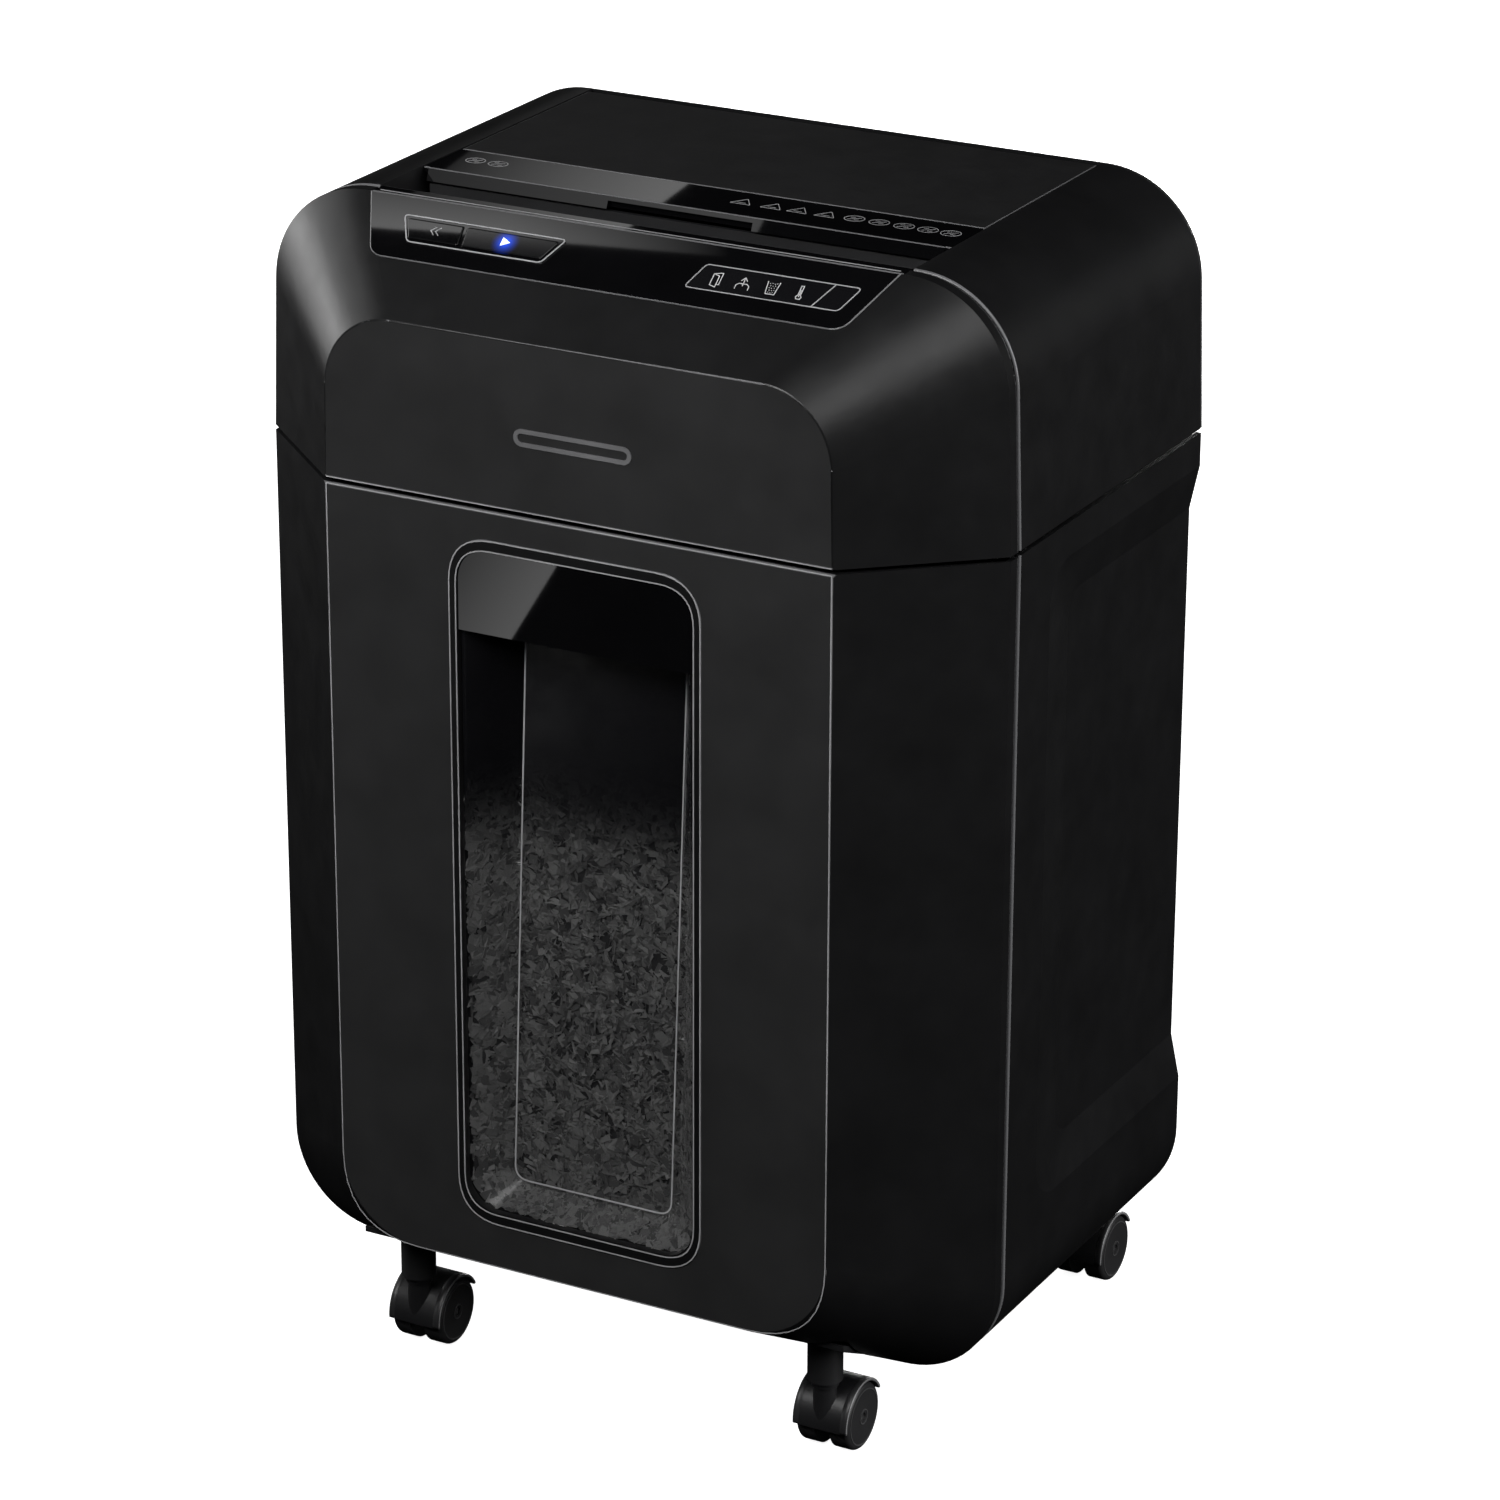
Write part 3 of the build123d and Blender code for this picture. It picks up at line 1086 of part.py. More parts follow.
with BuildPart() as stripper_combs:
    comb_rows = ((-1, SHAFT_Y[0], FIRST_DISC_X), (1, SHAFT_Y[1], FIRST_DISC_X + DISC_PITCH / 2))
    for direction, y, first_x in comb_rows:
        beam_y = y + direction * (DISC_R + 1.2)
        tip_y = y + direction * (DRUM_R + COMB_GAP)
        with BuildSketch(Plane.XY.offset(SHAFT_Z - COMB_HIGH / 2)):
            with Locations((0, beam_y + direction * BEAM_T / 2)):
                Rectangle(2 * PLATE_X, BEAM_T)
            for index in range(comb_count):
                finger_x = first_x + index * DISC_PITCH + (DISC_PITCH + DISC_T) / 2
                with Locations((finger_x, (beam_y + tip_y) / 2)):
                    Rectangle(FINGER_T, abs(beam_y - tip_y) + 0.4)
        extrude(amount=COMB_HIGH)
finish(stripper_combs, "stripper_combs")

FRAME_INSET = WALL + 0.8
FRAME_HOLE_DEPTH = 84.0


def head_plan(inset):
    """Plan of the head's shells, pulled in on every side."""
    front = FRONT_Y + inset
    back = BACK_Y - inset
    points = [
        (-PANEL_HALF + inset * 0.5, front),
        (PANEL_HALF - inset * 0.5, front),
        (HALF - inset, BEND_Y + inset * 0.4),
        (HALF - inset, SIDE_BACK_Y - inset * 0.4),
        (HEAD_REAR_HALF - inset * 0.5, back),
        (-HEAD_REAR_HALF + inset * 0.5, back),
        (-HALF + inset, SIDE_BACK_Y - inset * 0.4),
        (-HALF + inset, BEND_Y + inset * 0.4),
    ]
    return polygon(points)


with BuildPart() as head_base_frame:
    with BuildSketch(Plane.XY.offset(FRAME_LOW)):
        add(head_plan(FRAME_INSET))
        with Locations((0, NIP_Y)):
            Rectangle(2 * (PLATE_X - 3), FRAME_HOLE_DEPTH, mode=Mode.SUBTRACT)
    extrude(amount=FRAME_HIGH - FRAME_LOW)
finish(head_base_frame, "head_base_frame")

# ---- mains inlet with its power rocker ------------------------------------------------------
FITTING_GAP = 0.1           # between the fitting and its holes in the cover
FITTING_Y = BACK_Y - 0.4
FLANGE_Y = BACK_Y - WALL - 0.2
FLANGE_T = 2.0
INLET_DEEP = 20.0
INLET_WALL = 2.0
INLET_PINS = ((-7.0, -2.0), (0.0, 2.0), (7.0, -2.0))
PIN_LENGTH = 10.0
ROCKER_WALL = 1.0
ROCKER_WELL = 14.0
ROCKER_R = 8.6
ROCKER_TILT = 8.0
ROCKER_Y = BACK_Y - 5.0
ROCKER_RISE = 2.0           # the rocker's middle line stands this far above its pivot
ROCKER_FOOT = 4.0
PIVOT_R = 1.0
well_w = ROCKER_W - 2 * (FITTING_GAP + ROCKER_WALL)
well_h = ROCKER_H - 2 * (FITTING_GAP + ROCKER_WALL)
rocker_half = well_h / 2 - MOVE_GAP
pivot_half = well_h / 2 + ROCKER_WALL

with BuildPart() as power_inlet:
    with BuildSketch(at_y(FLANGE_Y)):
        with Locations(((INLET_X + ROCKER_X) / 2, BACK_FITTINGS_Z)):
            RectangleRounded(ROCKER_X - INLET_X + 32, INLET_H + 4, 3)
    extrude(amount=FLANGE_T)
    with BuildSketch(at_y(FITTING_Y)):
        with Locations((INLET_X, BACK_FITTINGS_Z)):
            RectangleRounded(INLET_W - 2 * FITTING_GAP, INLET_H - 2 * FITTING_GAP, 2.9)
    extrude(amount=INLET_DEEP)
    with BuildSketch(at_y(FITTING_Y)):
        with Locations((ROCKER_X, BACK_FITTINGS_Z)):
            RectangleRounded(ROCKER_W - 2 * FITTING_GAP, ROCKER_H - 2 * FITTING_GAP, 1)
    extrude(amount=ROCKER_WELL)
    with BuildSketch(at_y(BACK_Y)):
        with Locations((INLET_X, BACK_FITTINGS_Z)):
            RectangleRounded(INLET_W - 2 * INLET_WALL, INLET_H - 2 * INLET_WALL, 2)
    extrude(amount=INLET_DEEP - INLET_WALL, mode=Mode.SUBTRACT)
    with BuildSketch(at_y(BACK_Y)):
        with Locations((ROCKER_X, BACK_FITTINGS_Z)):
            Rectangle(well_w, well_h)
    extrude(amount=ROCKER_WELL + 1, mode=Mode.SUBTRACT)
    with BuildSketch(Plane.XY.offset(BACK_FITTINGS_Z - ROCKER_H)):
        with Locations((ROCKER_X, ROCKER_Y)):
            Circle(PIVOT_R + RUN_FIT)
    extrude(amount=2 * ROCKER_H, mode=Mode.SUBTRACT)
    with BuildSketch(at_y(BACK_Y - INLET_DEEP)):
        with Locations(*[(INLET_X + x, BACK_FITTINGS_Z + z) for x, z in INLET_PINS]):
            Rectangle(2, 4)
    extrude(amount=-PIN_LENGTH - INLET_WALL)
finish(power_inlet, "power_inlet")

# shallow V on a round back, tilted about its pivot
rocker_edge = ROCKER_RISE + ROCKER_R * tan(radians(ROCKER_TILT))
rocker_v = [
    (-ROCKER_R, rocker_edge),
    (0, ROCKER_RISE),
    (ROCKER_R, rocker_edge),
    (ROCKER_R, 2 * ROCKER_R),
    (-ROCKER_R, 2 * ROCKER_R),
]

with BuildSketch() as rocker_section:
    Circle(ROCKER_R)
    add(polygon(rocker_v), mode=Mode.SUBTRACT)
    with Locations((0, -ROCKER_FOOT)):
        Rectangle(2 * ROCKER_R, ROCKER_R, align=(Align.CENTER, Align.MAX), mode=Mode.SUBTRACT)

with BuildPart() as power_rocker:
    with BuildSketch(Plane.XY.offset(BACK_FITTINGS_Z - rocker_half)):
        with Locations(Location((ROCKER_X, ROCKER_Y, 0), ROCKER_TILT)):
            add(rocker_section.sketch)
    extrude(amount=2 * rocker_half)
    with BuildSketch(Plane.XY.offset(BACK_FITTINGS_Z - pivot_half)):
        with Locations((ROCKER_X, ROCKER_Y)):
            Circle(PIVOT_R)
    extrude(amount=2 * pivot_half)
finish(power_rocker, "power_rocker")

# ---- casters --------------------------------------------------------------------------------------
WHEEL_R = 16.0
TRAIL = 12.6
HOOD_R = 18.3
HOOD_HALF = 10.4
HOOD_REAR = 15.5            # the hood stops this far behind the axle
WEB_HALF = 3.5
WHEEL_INNER = WEB_HALF + MOVE_GAP
WHEEL_OUTER = 13.4
AXLE_R = 2.0
POST_R = 5.4

# the hood is open below, from its front foot up to its rear edge
hood_cut = [(-30, -1.5), (4, -1.5), (HOOD_REAR, 8), (HOOD_REAR, 30), (30, 30), (30, -30), (-30, -30)]

for name, (caster_x, caster_y) in caster_places.items():
    axle_y = caster_y + TRAIL

    with BuildPart() as hood:
        with BuildSketch(at_x(caster_x - HOOD_HALF)):
            with Locations((axle_y, WHEEL_R)):
                Circle(HOOD_R)
                add(polygon(hood_cut), mode=Mode.SUBTRACT)
        extrude(amount=2 * HOOD_HALF)
        with BuildSketch(Plane.XY.offset(WHEEL_R + 2)):
            with Locations((caster_x, caster_y)):
                Circle(POST_R)
        extrude(amount=COLLAR_LOW - MOVE_GAP - WHEEL_R - 2)
        with BuildSketch(Plane.XY.offset(COLLAR_LOW - 3)):
            with Locations((caster_x, caster_y)):
                Circle(POST_R + 1)
        extrude(amount=3 - MOVE_GAP)
        for side in (-1, 1):
            with BuildSketch(at_x(caster_x + side * (WEB_HALF + 15) - 15)):
                with Locations((axle_y, WHEEL_R)):
                    Circle(WHEEL_R + 0.5)
            extrude(amount=30, mode=Mode.SUBTRACT)
        with BuildSketch(at_x(caster_x - WEB_HALF)):
            with Locations((axle_y, WHEEL_R)):
                Circle(5)
                Circle(AXLE_R + RUN_FIT, mode=Mode.SUBTRACT)
        extrude(amount=2 * WEB_HALF)
        with BuildSketch(at_x(caster_x - 5)):
            with Locations((axle_y, WHEEL_R)):
                Circle(AXLE_R + RUN_FIT)
        extrude(amount=10, mode=Mode.SUBTRACT)
        with BuildSketch(Plane.XY.offset(COLLAR_LOW - 1)):
            with Locations((caster_x, caster_y)):
                Circle(STEM_R)
        extrude(amount=SOCKET_HIGH - COLLAR_LOW)
    finish(hood, f"caster_{name}_hood")

    with BuildPart() as wheels:
        for side in (-1, 1):
            low_x = caster_x + min(side * WHEEL_INNER, side * WHEEL_OUTER)
            with BuildSketch(at_x(low_x)):
                with Locations((axle_y, WHEEL_R)):
                    Circle(WHEEL_R)
                    Circle(AXLE_R, mode=Mode.SUBTRACT)
            extrude(amount=WHEEL_OUTER - WHEEL_INNER)
        rims = wheels.edges().filter_by(GeomType.CIRCLE).sort_by(SortBy.RADIUS)[-4:].sort_by(Axis.X)
        fillet([rims[0], rims[-1]], 2.2)
    finish(wheels, f"caster_{name}_wheels")

    with BuildPart() as axle:
        with BuildSketch(at_x(caster_x - WHEEL_OUTER + 1)):
            with Locations((axle_y, WHEEL_R)):
                Circle(AXLE_R)
        extrude(amount=2 * WHEEL_OUTER - 2)
    finish(axle, f"caster_{name}_axle")
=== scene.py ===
import json
import math
import random
import bmesh
import bpy
import mathutils
from mathutils import Matrix, Quaternion, Vector
from mathutils.bvhtree import BVHTree


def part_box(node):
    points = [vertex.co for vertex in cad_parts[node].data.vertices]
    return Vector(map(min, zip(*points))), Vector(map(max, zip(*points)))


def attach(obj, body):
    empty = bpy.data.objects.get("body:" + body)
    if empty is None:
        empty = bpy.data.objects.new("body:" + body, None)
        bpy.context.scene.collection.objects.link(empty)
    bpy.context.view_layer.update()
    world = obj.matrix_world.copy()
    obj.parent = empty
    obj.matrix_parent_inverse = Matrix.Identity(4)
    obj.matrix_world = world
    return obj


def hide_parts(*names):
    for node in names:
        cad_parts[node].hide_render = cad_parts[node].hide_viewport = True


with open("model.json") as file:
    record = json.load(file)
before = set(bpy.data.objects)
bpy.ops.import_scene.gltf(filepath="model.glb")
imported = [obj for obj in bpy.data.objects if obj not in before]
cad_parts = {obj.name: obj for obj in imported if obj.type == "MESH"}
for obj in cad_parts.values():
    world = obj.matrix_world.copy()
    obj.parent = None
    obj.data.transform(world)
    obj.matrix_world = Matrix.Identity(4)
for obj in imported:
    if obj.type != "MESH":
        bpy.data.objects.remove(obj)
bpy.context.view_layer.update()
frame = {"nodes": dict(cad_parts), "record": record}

MM = 0.001

# ---- node helpers -----------------------------------------------------------------------------


def new_material(name):
    """An empty node material with its Principled shader."""
    material = bpy.data.materials.new(name)
    material.use_nodes = True
    tree = material.node_tree
    tree.nodes.clear()
    output = tree.nodes.new("ShaderNodeOutputMaterial")
    shader = tree.nodes.new("ShaderNodeBsdfPrincipled")
    tree.links.new(shader.outputs[0], output.inputs[0])
    return material, tree, shader


def feed(tree, value, socket):
    """Gives a socket its value: a number, a colour, or another node's output."""
    if hasattr(value, "is_linked"):
        tree.links.new(value, socket)
    else:
        socket.default_value = value


def noise(tree, scale, detail=4.0, stretch=(1, 1, 1)):
    """Noise in the mesh's own coordinates, in metres. Returns its factor socket."""
    place = tree.nodes.new("ShaderNodeTexCoord")
    mapping = tree.nodes.new("ShaderNodeMapping")
    mapping.inputs["Scale"].default_value = stretch
    texture = tree.nodes.new("ShaderNodeTexNoise")
    texture.inputs["Scale"].default_value = scale
    texture.inputs["Detail"].default_value = detail
    texture.inputs["Roughness"].default_value = 0.6
    tree.links.new(place.outputs["Object"], mapping.inputs["Vector"])
    tree.links.new(mapping.outputs[0], texture.inputs["Vector"])
    return texture.outputs["Fac"]


def remap(tree, factor, low, high, start=0.3, end=0.7):
    """A factor from start to end becomes a value from low to high."""
    node = tree.nodes.new("ShaderNodeMapRange")
    node.inputs["From Min"].default_value = start
    node.inputs["From Max"].default_value = end
    node.inputs["To Min"].default_value = low
    node.inputs["To Max"].default_value = high
    tree.links.new(factor, node.inputs["Value"])
    return node.outputs["Result"]


def combine(tree, operation, one, two):
    """One value worked out from two, each a number or a node's output."""
    node = tree.nodes.new("ShaderNodeMath")
    node.operation = operation
    feed(tree, one, node.inputs[0])
    feed(tree, two, node.inputs[1])
    return node.outputs[0]


def blend_colors(tree, factor, dark, light):
    """A colour between two others, each given as a colour or a node's output."""
    node = tree.nodes.new("ShaderNodeMix")
    node.data_type = "RGBA"
    tree.links.new(factor, node.inputs["Factor"])
    for socket, value in ((node.inputs[6], dark), (node.inputs[7], light)):
        feed(tree, (*value, 1) if isinstance(value, tuple) else value, socket)
    return node.outputs[2]


def bump(tree, shader, height, strength, distance):
    """Surface relief of the given height in metres."""
    node = tree.nodes.new("ShaderNodeBump")
    node.inputs["Strength"].default_value = strength
    node.inputs["Distance"].default_value = distance
    tree.links.new(height, node.inputs["Height"])
    tree.links.new(node.outputs[0], shader.inputs["Normal"])


TONE_SPREAD = 0.18          # how far a plastic's tone strays from its colour


def plastic(name, color, roughness, grain=1400, relief=0.06, edge=None, shine=0.5):
    """Moulded plastic with fine grain and faint tone changes. Its rounded edges can take a lighter, smoother
    painted highlight tone.
    """
    material, tree, shader = new_material(name)
    shader.inputs["Specular IOR Level"].default_value = shine
    patches = noise(tree, 22, detail=3)
    dark = tuple(c * (1 - TONE_SPREAD) for c in color)
    light = tuple(c * (1 + TONE_SPREAD) for c in color)
    tone = blend_colors(tree, remap(tree, patches, 0, 1), dark, light)
    rough = remap(tree, noise(tree, 60, detail=5), roughness * 0.92, roughness * 1.08)
    if edge:
        # faces marked as tight edges take the painted highlight tone and a smoother finish
        edge_highlight_mask = tree.nodes.new("ShaderNodeAttribute")
        edge_highlight_mask.attribute_name = "edge"
        tone = blend_colors(tree, edge_highlight_mask.outputs["Fac"], tone, edge)
        smooth = tree.nodes.new("ShaderNodeMix")
        tree.links.new(edge_highlight_mask.outputs["Fac"], smooth.inputs["Factor"])
        tree.links.new(rough, smooth.inputs["A"])
        smooth.inputs["B"].default_value = roughness * 0.7
        rough = smooth.outputs["Result"]
    tree.links.new(tone, shader.inputs["Base Color"])
    tree.links.new(rough, shader.inputs["Roughness"])
    bump(tree, shader, noise(tree, grain, detail=2), relief, 0.1 * MM)
    return material


def metal(name, color, roughness, stretch=(1, 1, 1)):
    """Bare metal with fine machining marks drawn out along one axis."""
    material, tree, shader = new_material(name)
    shader.inputs["Metallic"].default_value = 1.0
    marks = noise(tree, 900, detail=3, stretch=stretch)
    tone = blend_colors(tree, remap(tree, marks, 0, 1), tuple(c * 0.8 for c in color), color)
    tree.links.new(tone, shader.inputs["Base Color"])
    tree.links.new(remap(tree, marks, roughness * 0.8, roughness * 1.25), shader.inputs["Roughness"])
    bump(tree, shader, marks, 0.1, 0.05 * MM)
    return material


# ---- materials --------------------------------------------------------------------------------
# lighter tone painted on tightly rounded edges as a highlight line
EDGE_HIGHLIGHT_TONE = (0.15, 0.15, 0.155)
shell_black = plastic("shell_black", (0.007, 0.007, 0.0074), 0.34, edge=EDGE_HIGHLIGHT_TONE, shine=0.36)
panel_black = plastic("panel_black", (0.021, 0.021, 0.0215), 0.55, edge=EDGE_HIGHLIGHT_TONE, shine=0.4)
lid_black = plastic(
    "lid_black", (0.007, 0.007, 0.0074), 0.55, grain=900, relief=0.25, edge=EDGE_HIGHLIGHT_TONE, shine=0.3,
)
gloss_black = plastic("gloss_black", (0.003, 0.003, 0.0034), 0.02, relief=0.0, edge=EDGE_HIGHLIGHT_TONE)
# light grey for printed symbols, and for lines painted along part edges as highlights
highlight_and_print_grey = plastic("highlight_and_print_grey", (0.42, 0.42, 0.43), 0.3, grain=900)
fitting_black = plastic("fitting_black", (0.03, 0.03, 0.031), 0.25, relief=0.02)
ring_grey = plastic("ring_grey", (0.07, 0.07, 0.072), 0.35, grain=900)
print_white = plastic("print_white", (0.62, 0.62, 0.63), 0.45, grain=900)
inner_black = plastic("inner_black", (0.012, 0.012, 0.013), 0.5)
# caster and wheel plastics take a lighter painted highlight tone on faces marked as edges
caster_black = plastic("caster_black", (0.012, 0.012, 0.013), 0.38, edge=(0.06, 0.06, 0.062))
wheel_grey = plastic("wheel_grey", (0.020, 0.020, 0.021), 0.42, edge=(0.22, 0.22, 0.225))
bezel_grey = plastic("bezel_grey", (0.10, 0.10, 0.104), 0.34, grain=700)
gear_cream = plastic("gear_cream", (0.72, 0.69, 0.60), 0.42)
board_green = plastic("board_green", (0.02, 0.10, 0.045), 0.35, grain=500, relief=0.3)
motor_grey = plastic("motor_grey", (0.13, 0.135, 0.14), 0.38, grain=500, relief=0.15)
roller_rubber = plastic("roller_rubber", (0.03, 0.03, 0.031), 0.75, grain=700, relief=0.5)
led_clear = plastic("led_clear", (0.55, 0.56, 0.58), 0.2, relief=0.01)
badge_grey = plastic("badge_grey", (0.17, 0.17, 0.175), 0.35, grain=900)
plain_steel = metal("plain_steel", (0.55, 0.55, 0.56), 0.32, stretch=(0.02, 1, 1))
cutter_steel = metal("cutter_steel", (0.42, 0.42, 0.43), 0.28, stretch=(1, 0.1, 0.1))
bronze = metal("bronze", (0.56, 0.38, 0.19), 0.4)


def smoked_with_painted_shade(name, color, low_alpha, high_alpha, low_z, high_z):
    """Clear plastic with a black tint, growing more opaque with height as painted shade."""
    material, tree, shader = new_material(name)
    shader.inputs["Base Color"].default_value = (*color, 1)
    shader.inputs["Specular IOR Level"].default_value = 0.2
    place = tree.nodes.new("ShaderNodeTexCoord")
    split = tree.nodes.new("ShaderNodeSeparateXYZ")
    tree.links.new(place.outputs["Object"], split.inputs[0])
    alpha = remap(tree, split.outputs["Z"], low_alpha, high_alpha, low_z, high_z)
    tree.links.new(alpha, shader.inputs["Alpha"])
    alpha.node.interpolation_type = "SMOOTHSTEP"
    tree.links.new(remap(tree, noise(tree, 35, detail=3), 0.14, 0.30), shader.inputs["Roughness"])
    return material


PILE_TOP = 0.312            # level of the shreds behind the window
# the window turns more opaque over this span: painted shade above the shreds
PAINTED_SHADE_START = PILE_TOP - 0.045
PAINTED_SHADE_END = PILE_TOP + 0.02
smoked_black_painted_shade = smoked_with_painted_shade("smoked_black_painted_shade", (0.006, 0.006, 0.007), 0.42, 0.9, PAINTED_SHADE_START, PAINTED_SHADE_END)


def shreds(name):
    """Cut paper, each flake a little different in tone; the blocks under the flakes take the darkest tone as
    painted shade between the flakes.
    """
    material, tree, shader = new_material(name)
    shader.inputs["Roughness"].default_value = 0.85
    shade = tree.nodes.new("ShaderNodeAttribute")
    shade.attribute_name = "shade"
    paper = blend_colors(tree, shade.outputs["Fac"], (0.10, 0.10, 0.102), (0.90, 0.90, 0.89))
    fibre = remap(tree, noise(tree, 2500, detail=3), 0, 0.15)
    tree.links.new(blend_colors(tree, fibre, paper, (0.5, 0.5, 0.5)), shader.inputs["Base Color"])
    return material


def lit_button(name, lamp, reach):
    """Gloss black with a blue glow that spreads from a lamp behind it."""
    material = plastic(name, (0.0035, 0.0035, 0.004), 0.06, relief=0.0)
    tree = material.node_tree
    shader = next(node for node in tree.nodes if node.type == "BSDF_PRINCIPLED")
    place = tree.nodes.new("ShaderNodeTexCoord")
    gap = tree.nodes.new("ShaderNodeVectorMath")
    gap.operation = "DISTANCE"
    tree.links.new(place.outputs["Object"], gap.inputs[0])
    gap.inputs[1].default_value = lamp
    near = remap(tree, gap.outputs["Value"], 1, 0, 0, reach)
    glow = combine(tree, "MULTIPLY", combine(tree, "POWER", near, 2.2), 1.6)
    shader.inputs["Emission Color"].default_value = (0.01, 0.09, 1.0, 1)
    tree.links.new(glow, shader.inputs["Emission Strength"])
    return material


def glowing(name, color, strength):
    """A lit symbol, with faint random changes in brightness."""
    material, tree, shader = new_material(name)
    shader.inputs["Roughness"].default_value = 0.4
    tone = remap(tree, noise(tree, 300), 0, 1)
    lit = blend_colors(tree, tone, tuple(c * 0.9 for c in color), color)
    tree.links.new(lit, shader.inputs["Base Color"])
    tree.links.new(lit, shader.inputs["Emission Color"])
    shader.inputs["Emission Strength"].default_value = strength
    return material


paper_shreds = shreds("paper_shreds")
lamp_white = glowing("lamp_white", (0.80, 0.90, 1.0), 1.0)

# ---- the CAD nodes ----------------------------------------------------------------------------
SLOT_MATERIALS = {
    "shell_plastic": shell_black,
    "panel_plastic": lid_black,
    "gloss_plastic": gloss_black,
    "inner_plastic": inner_black,
    "smoked_plastic": smoked_black_painted_shade,
    "trim_grey": bezel_grey,
    "circuit_board": board_green,
    "led": led_clear,
    "steel": plain_steel,
    "cutter_steel": cutter_steel,
    "bronze": bronze,
    "gear_plastic": gear_cream,
    "motor_paint": motor_grey,
    "roller_rubber": roller_rubber,
    "caster_plastic": caster_black,
    "wheel_plastic": wheel_grey,
}
slot_of = {part["node"]: part["material_slot"] for part in frame["record"]["subparts"]}
body_of = {node: body for body, nodes in frame["record"]["behaviour"]["bodies"].items() for node in nodes}

for node_name, node_object in frame["nodes"].items():
    for material_slot in node_object.material_slots:
        material_slot.material = SLOT_MATERIALS[slot_of[node_name]]

for node_name, finish in (
    ("head_badge", badge_grey), ("power_inlet", fitting_black), ("power_rocker", fitting_black),
):
    for material_slot in frame["nodes"][node_name].material_slots:
        material_slot.material = finish

# ---- piece helpers ----------------------------------------------------------------------------
EDGE_RADIUS = 2.2 * MM      # rounded edges tighter than this take the painted edge highlight
FRONT_FACING = 0.99         # how squarely a face looks forward to count as the flat front


def place_piece(name, mesh, material, body):
    """Adds a mesh to the scene as a piece that rides on a body."""
    piece = bpy.data.objects.new(name, mesh)
    bpy.context.scene.collection.objects.link(piece)
    mesh.materials.clear()
    mesh.materials.append(material)
    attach(piece, body)
    return piece


def place_work(name, work, material, body):
    """Adds finished bmesh work to the scene as a piece that rides on a body."""
    mesh = bpy.data.meshes.new(name)
    work.to_mesh(mesh)
    work.free()
    place_piece(name, mesh, material, body)


def mark_edges(mesh):
    """Writes a face attribute that is 1 where the surface turns more tightly than the edge radius."""
    normals = [Vector(corner.vector) for corner in mesh.corner_normals]
    places = [mesh.vertices[loop.vertex_index].co for loop in mesh.loops]
    tight = []
    for polygon in mesh.polygons:
        corners = list(polygon.loop_indices)
        turning = max(
            normals[one].angle(normals[two], 0.0) / max((places[one] - places[two]).length, 1e-7)
            for one, two in zip(corners, corners[1:] + corners[:1])
        )
        tight.append(1.0 if turning > 1 / EDGE_RADIUS else 0.0)
    attribute = mesh.attributes.new("edge", "FLOAT", "FACE")
    attribute.data.foreach_set("value", tight)


def skin(node, material, front_material):
    """A skin with the shape of a CAD shell, a painted highlight tone on its tightly rounded edges and, where
    given, its own front finish.
    """
    mesh = frame["nodes"][node].data.copy()
    mark_edges(mesh)
    piece = place_piece(node + "_skin", mesh, material, body_of[node])
    if front_material:
        mesh.materials.append(front_material)
        front_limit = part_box(node)[0].y + 0.2 * MM
        for polygon in mesh.polygons:
            if polygon.normal.y < -FRONT_FACING and polygon.center.y < front_limit:
                polygon.material_index = 1
    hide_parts(node)


def solid_of(node):
    """The node's mesh, ready for finding points on its surface."""
    mesh = frame["nodes"][node].data
    places = [vertex.co for vertex in mesh.vertices]
    return BVHTree.FromPolygons(places, [face.vertices for face in mesh.polygons])


# each shell's finish, and the finish of its flat front
SHELLS = {
    "head_front_cover": (shell_black, panel_black),
    "head_right_cover": (shell_black, None),
    "head_left_cover": (shell_black, None),
    "head_back_cover": (shell_black, None),
    "cabinet_right_side": (shell_black, None),
    "cabinet_left_side": (shell_black, None),
    "cabinet_back": (shell_black, None),
    "bin_front": (shell_black, panel_black),
    "window_bezel": (shell_black, None),
    "lid_panel": (lid_black, None),
    "lid_trim": (gloss_black, None),
    "throat_front_guide": (gloss_black, None),
    "control_panel": (gloss_black, None),
    "button_bezel": (gloss_black, None),
}
for shell_name, (finish, front_finish) in SHELLS.items():
    skin(shell_name, finish, front_finish)

# ---- raised lines and filled marks ------------------------------------------------------------
SINK = 0.05                 # how far lines and marks reach into their surface, in millimetres


def flat_frame(origin, across, up):
    """Local axes for flat work: x across, y up the surface, z out of it."""
    across = Vector(across).normalized()
    out = across.cross(Vector(up)).normalized()
    up = out.cross(across)
    turn = Matrix((across, up, out)).transposed().to_4x4()
    return Matrix.Translation(Vector(origin)) @ turn


def rounded(points, radius, steps=5):
    """A closed outline with its corners rounded, by one radius or a list of them, in millimetres."""
    outline = []
    count = len(points)
    radii = radius if isinstance(radius, (list, tuple)) else [radius] * count
    for index, (point, reach) in enumerate(zip(points, radii)):
        corner = Vector(point)
        before = Vector(points[index - 1]) - corner
        after = Vector(points[(index + 1) % count]) - corner
        start = corner + before.normalized() * min(reach, before.length / 2)
        end = corner + after.normalized() * min(reach, after.length / 2)
        for step in range(steps + 1):
            t = step / steps
            outline.append(start * (1 - t) ** 2 + corner * 2 * t * (1 - t) + end * t ** 2)
    return outline


def oval(x, y, half_width, half_height, count=28):
    """A closed oval outline, in millimetres."""
    angles = [2 * math.pi * k / count for k in range(count)]
    return [Vector((x + half_width * math.cos(a), y + half_height * math.sin(a))) for a in angles]


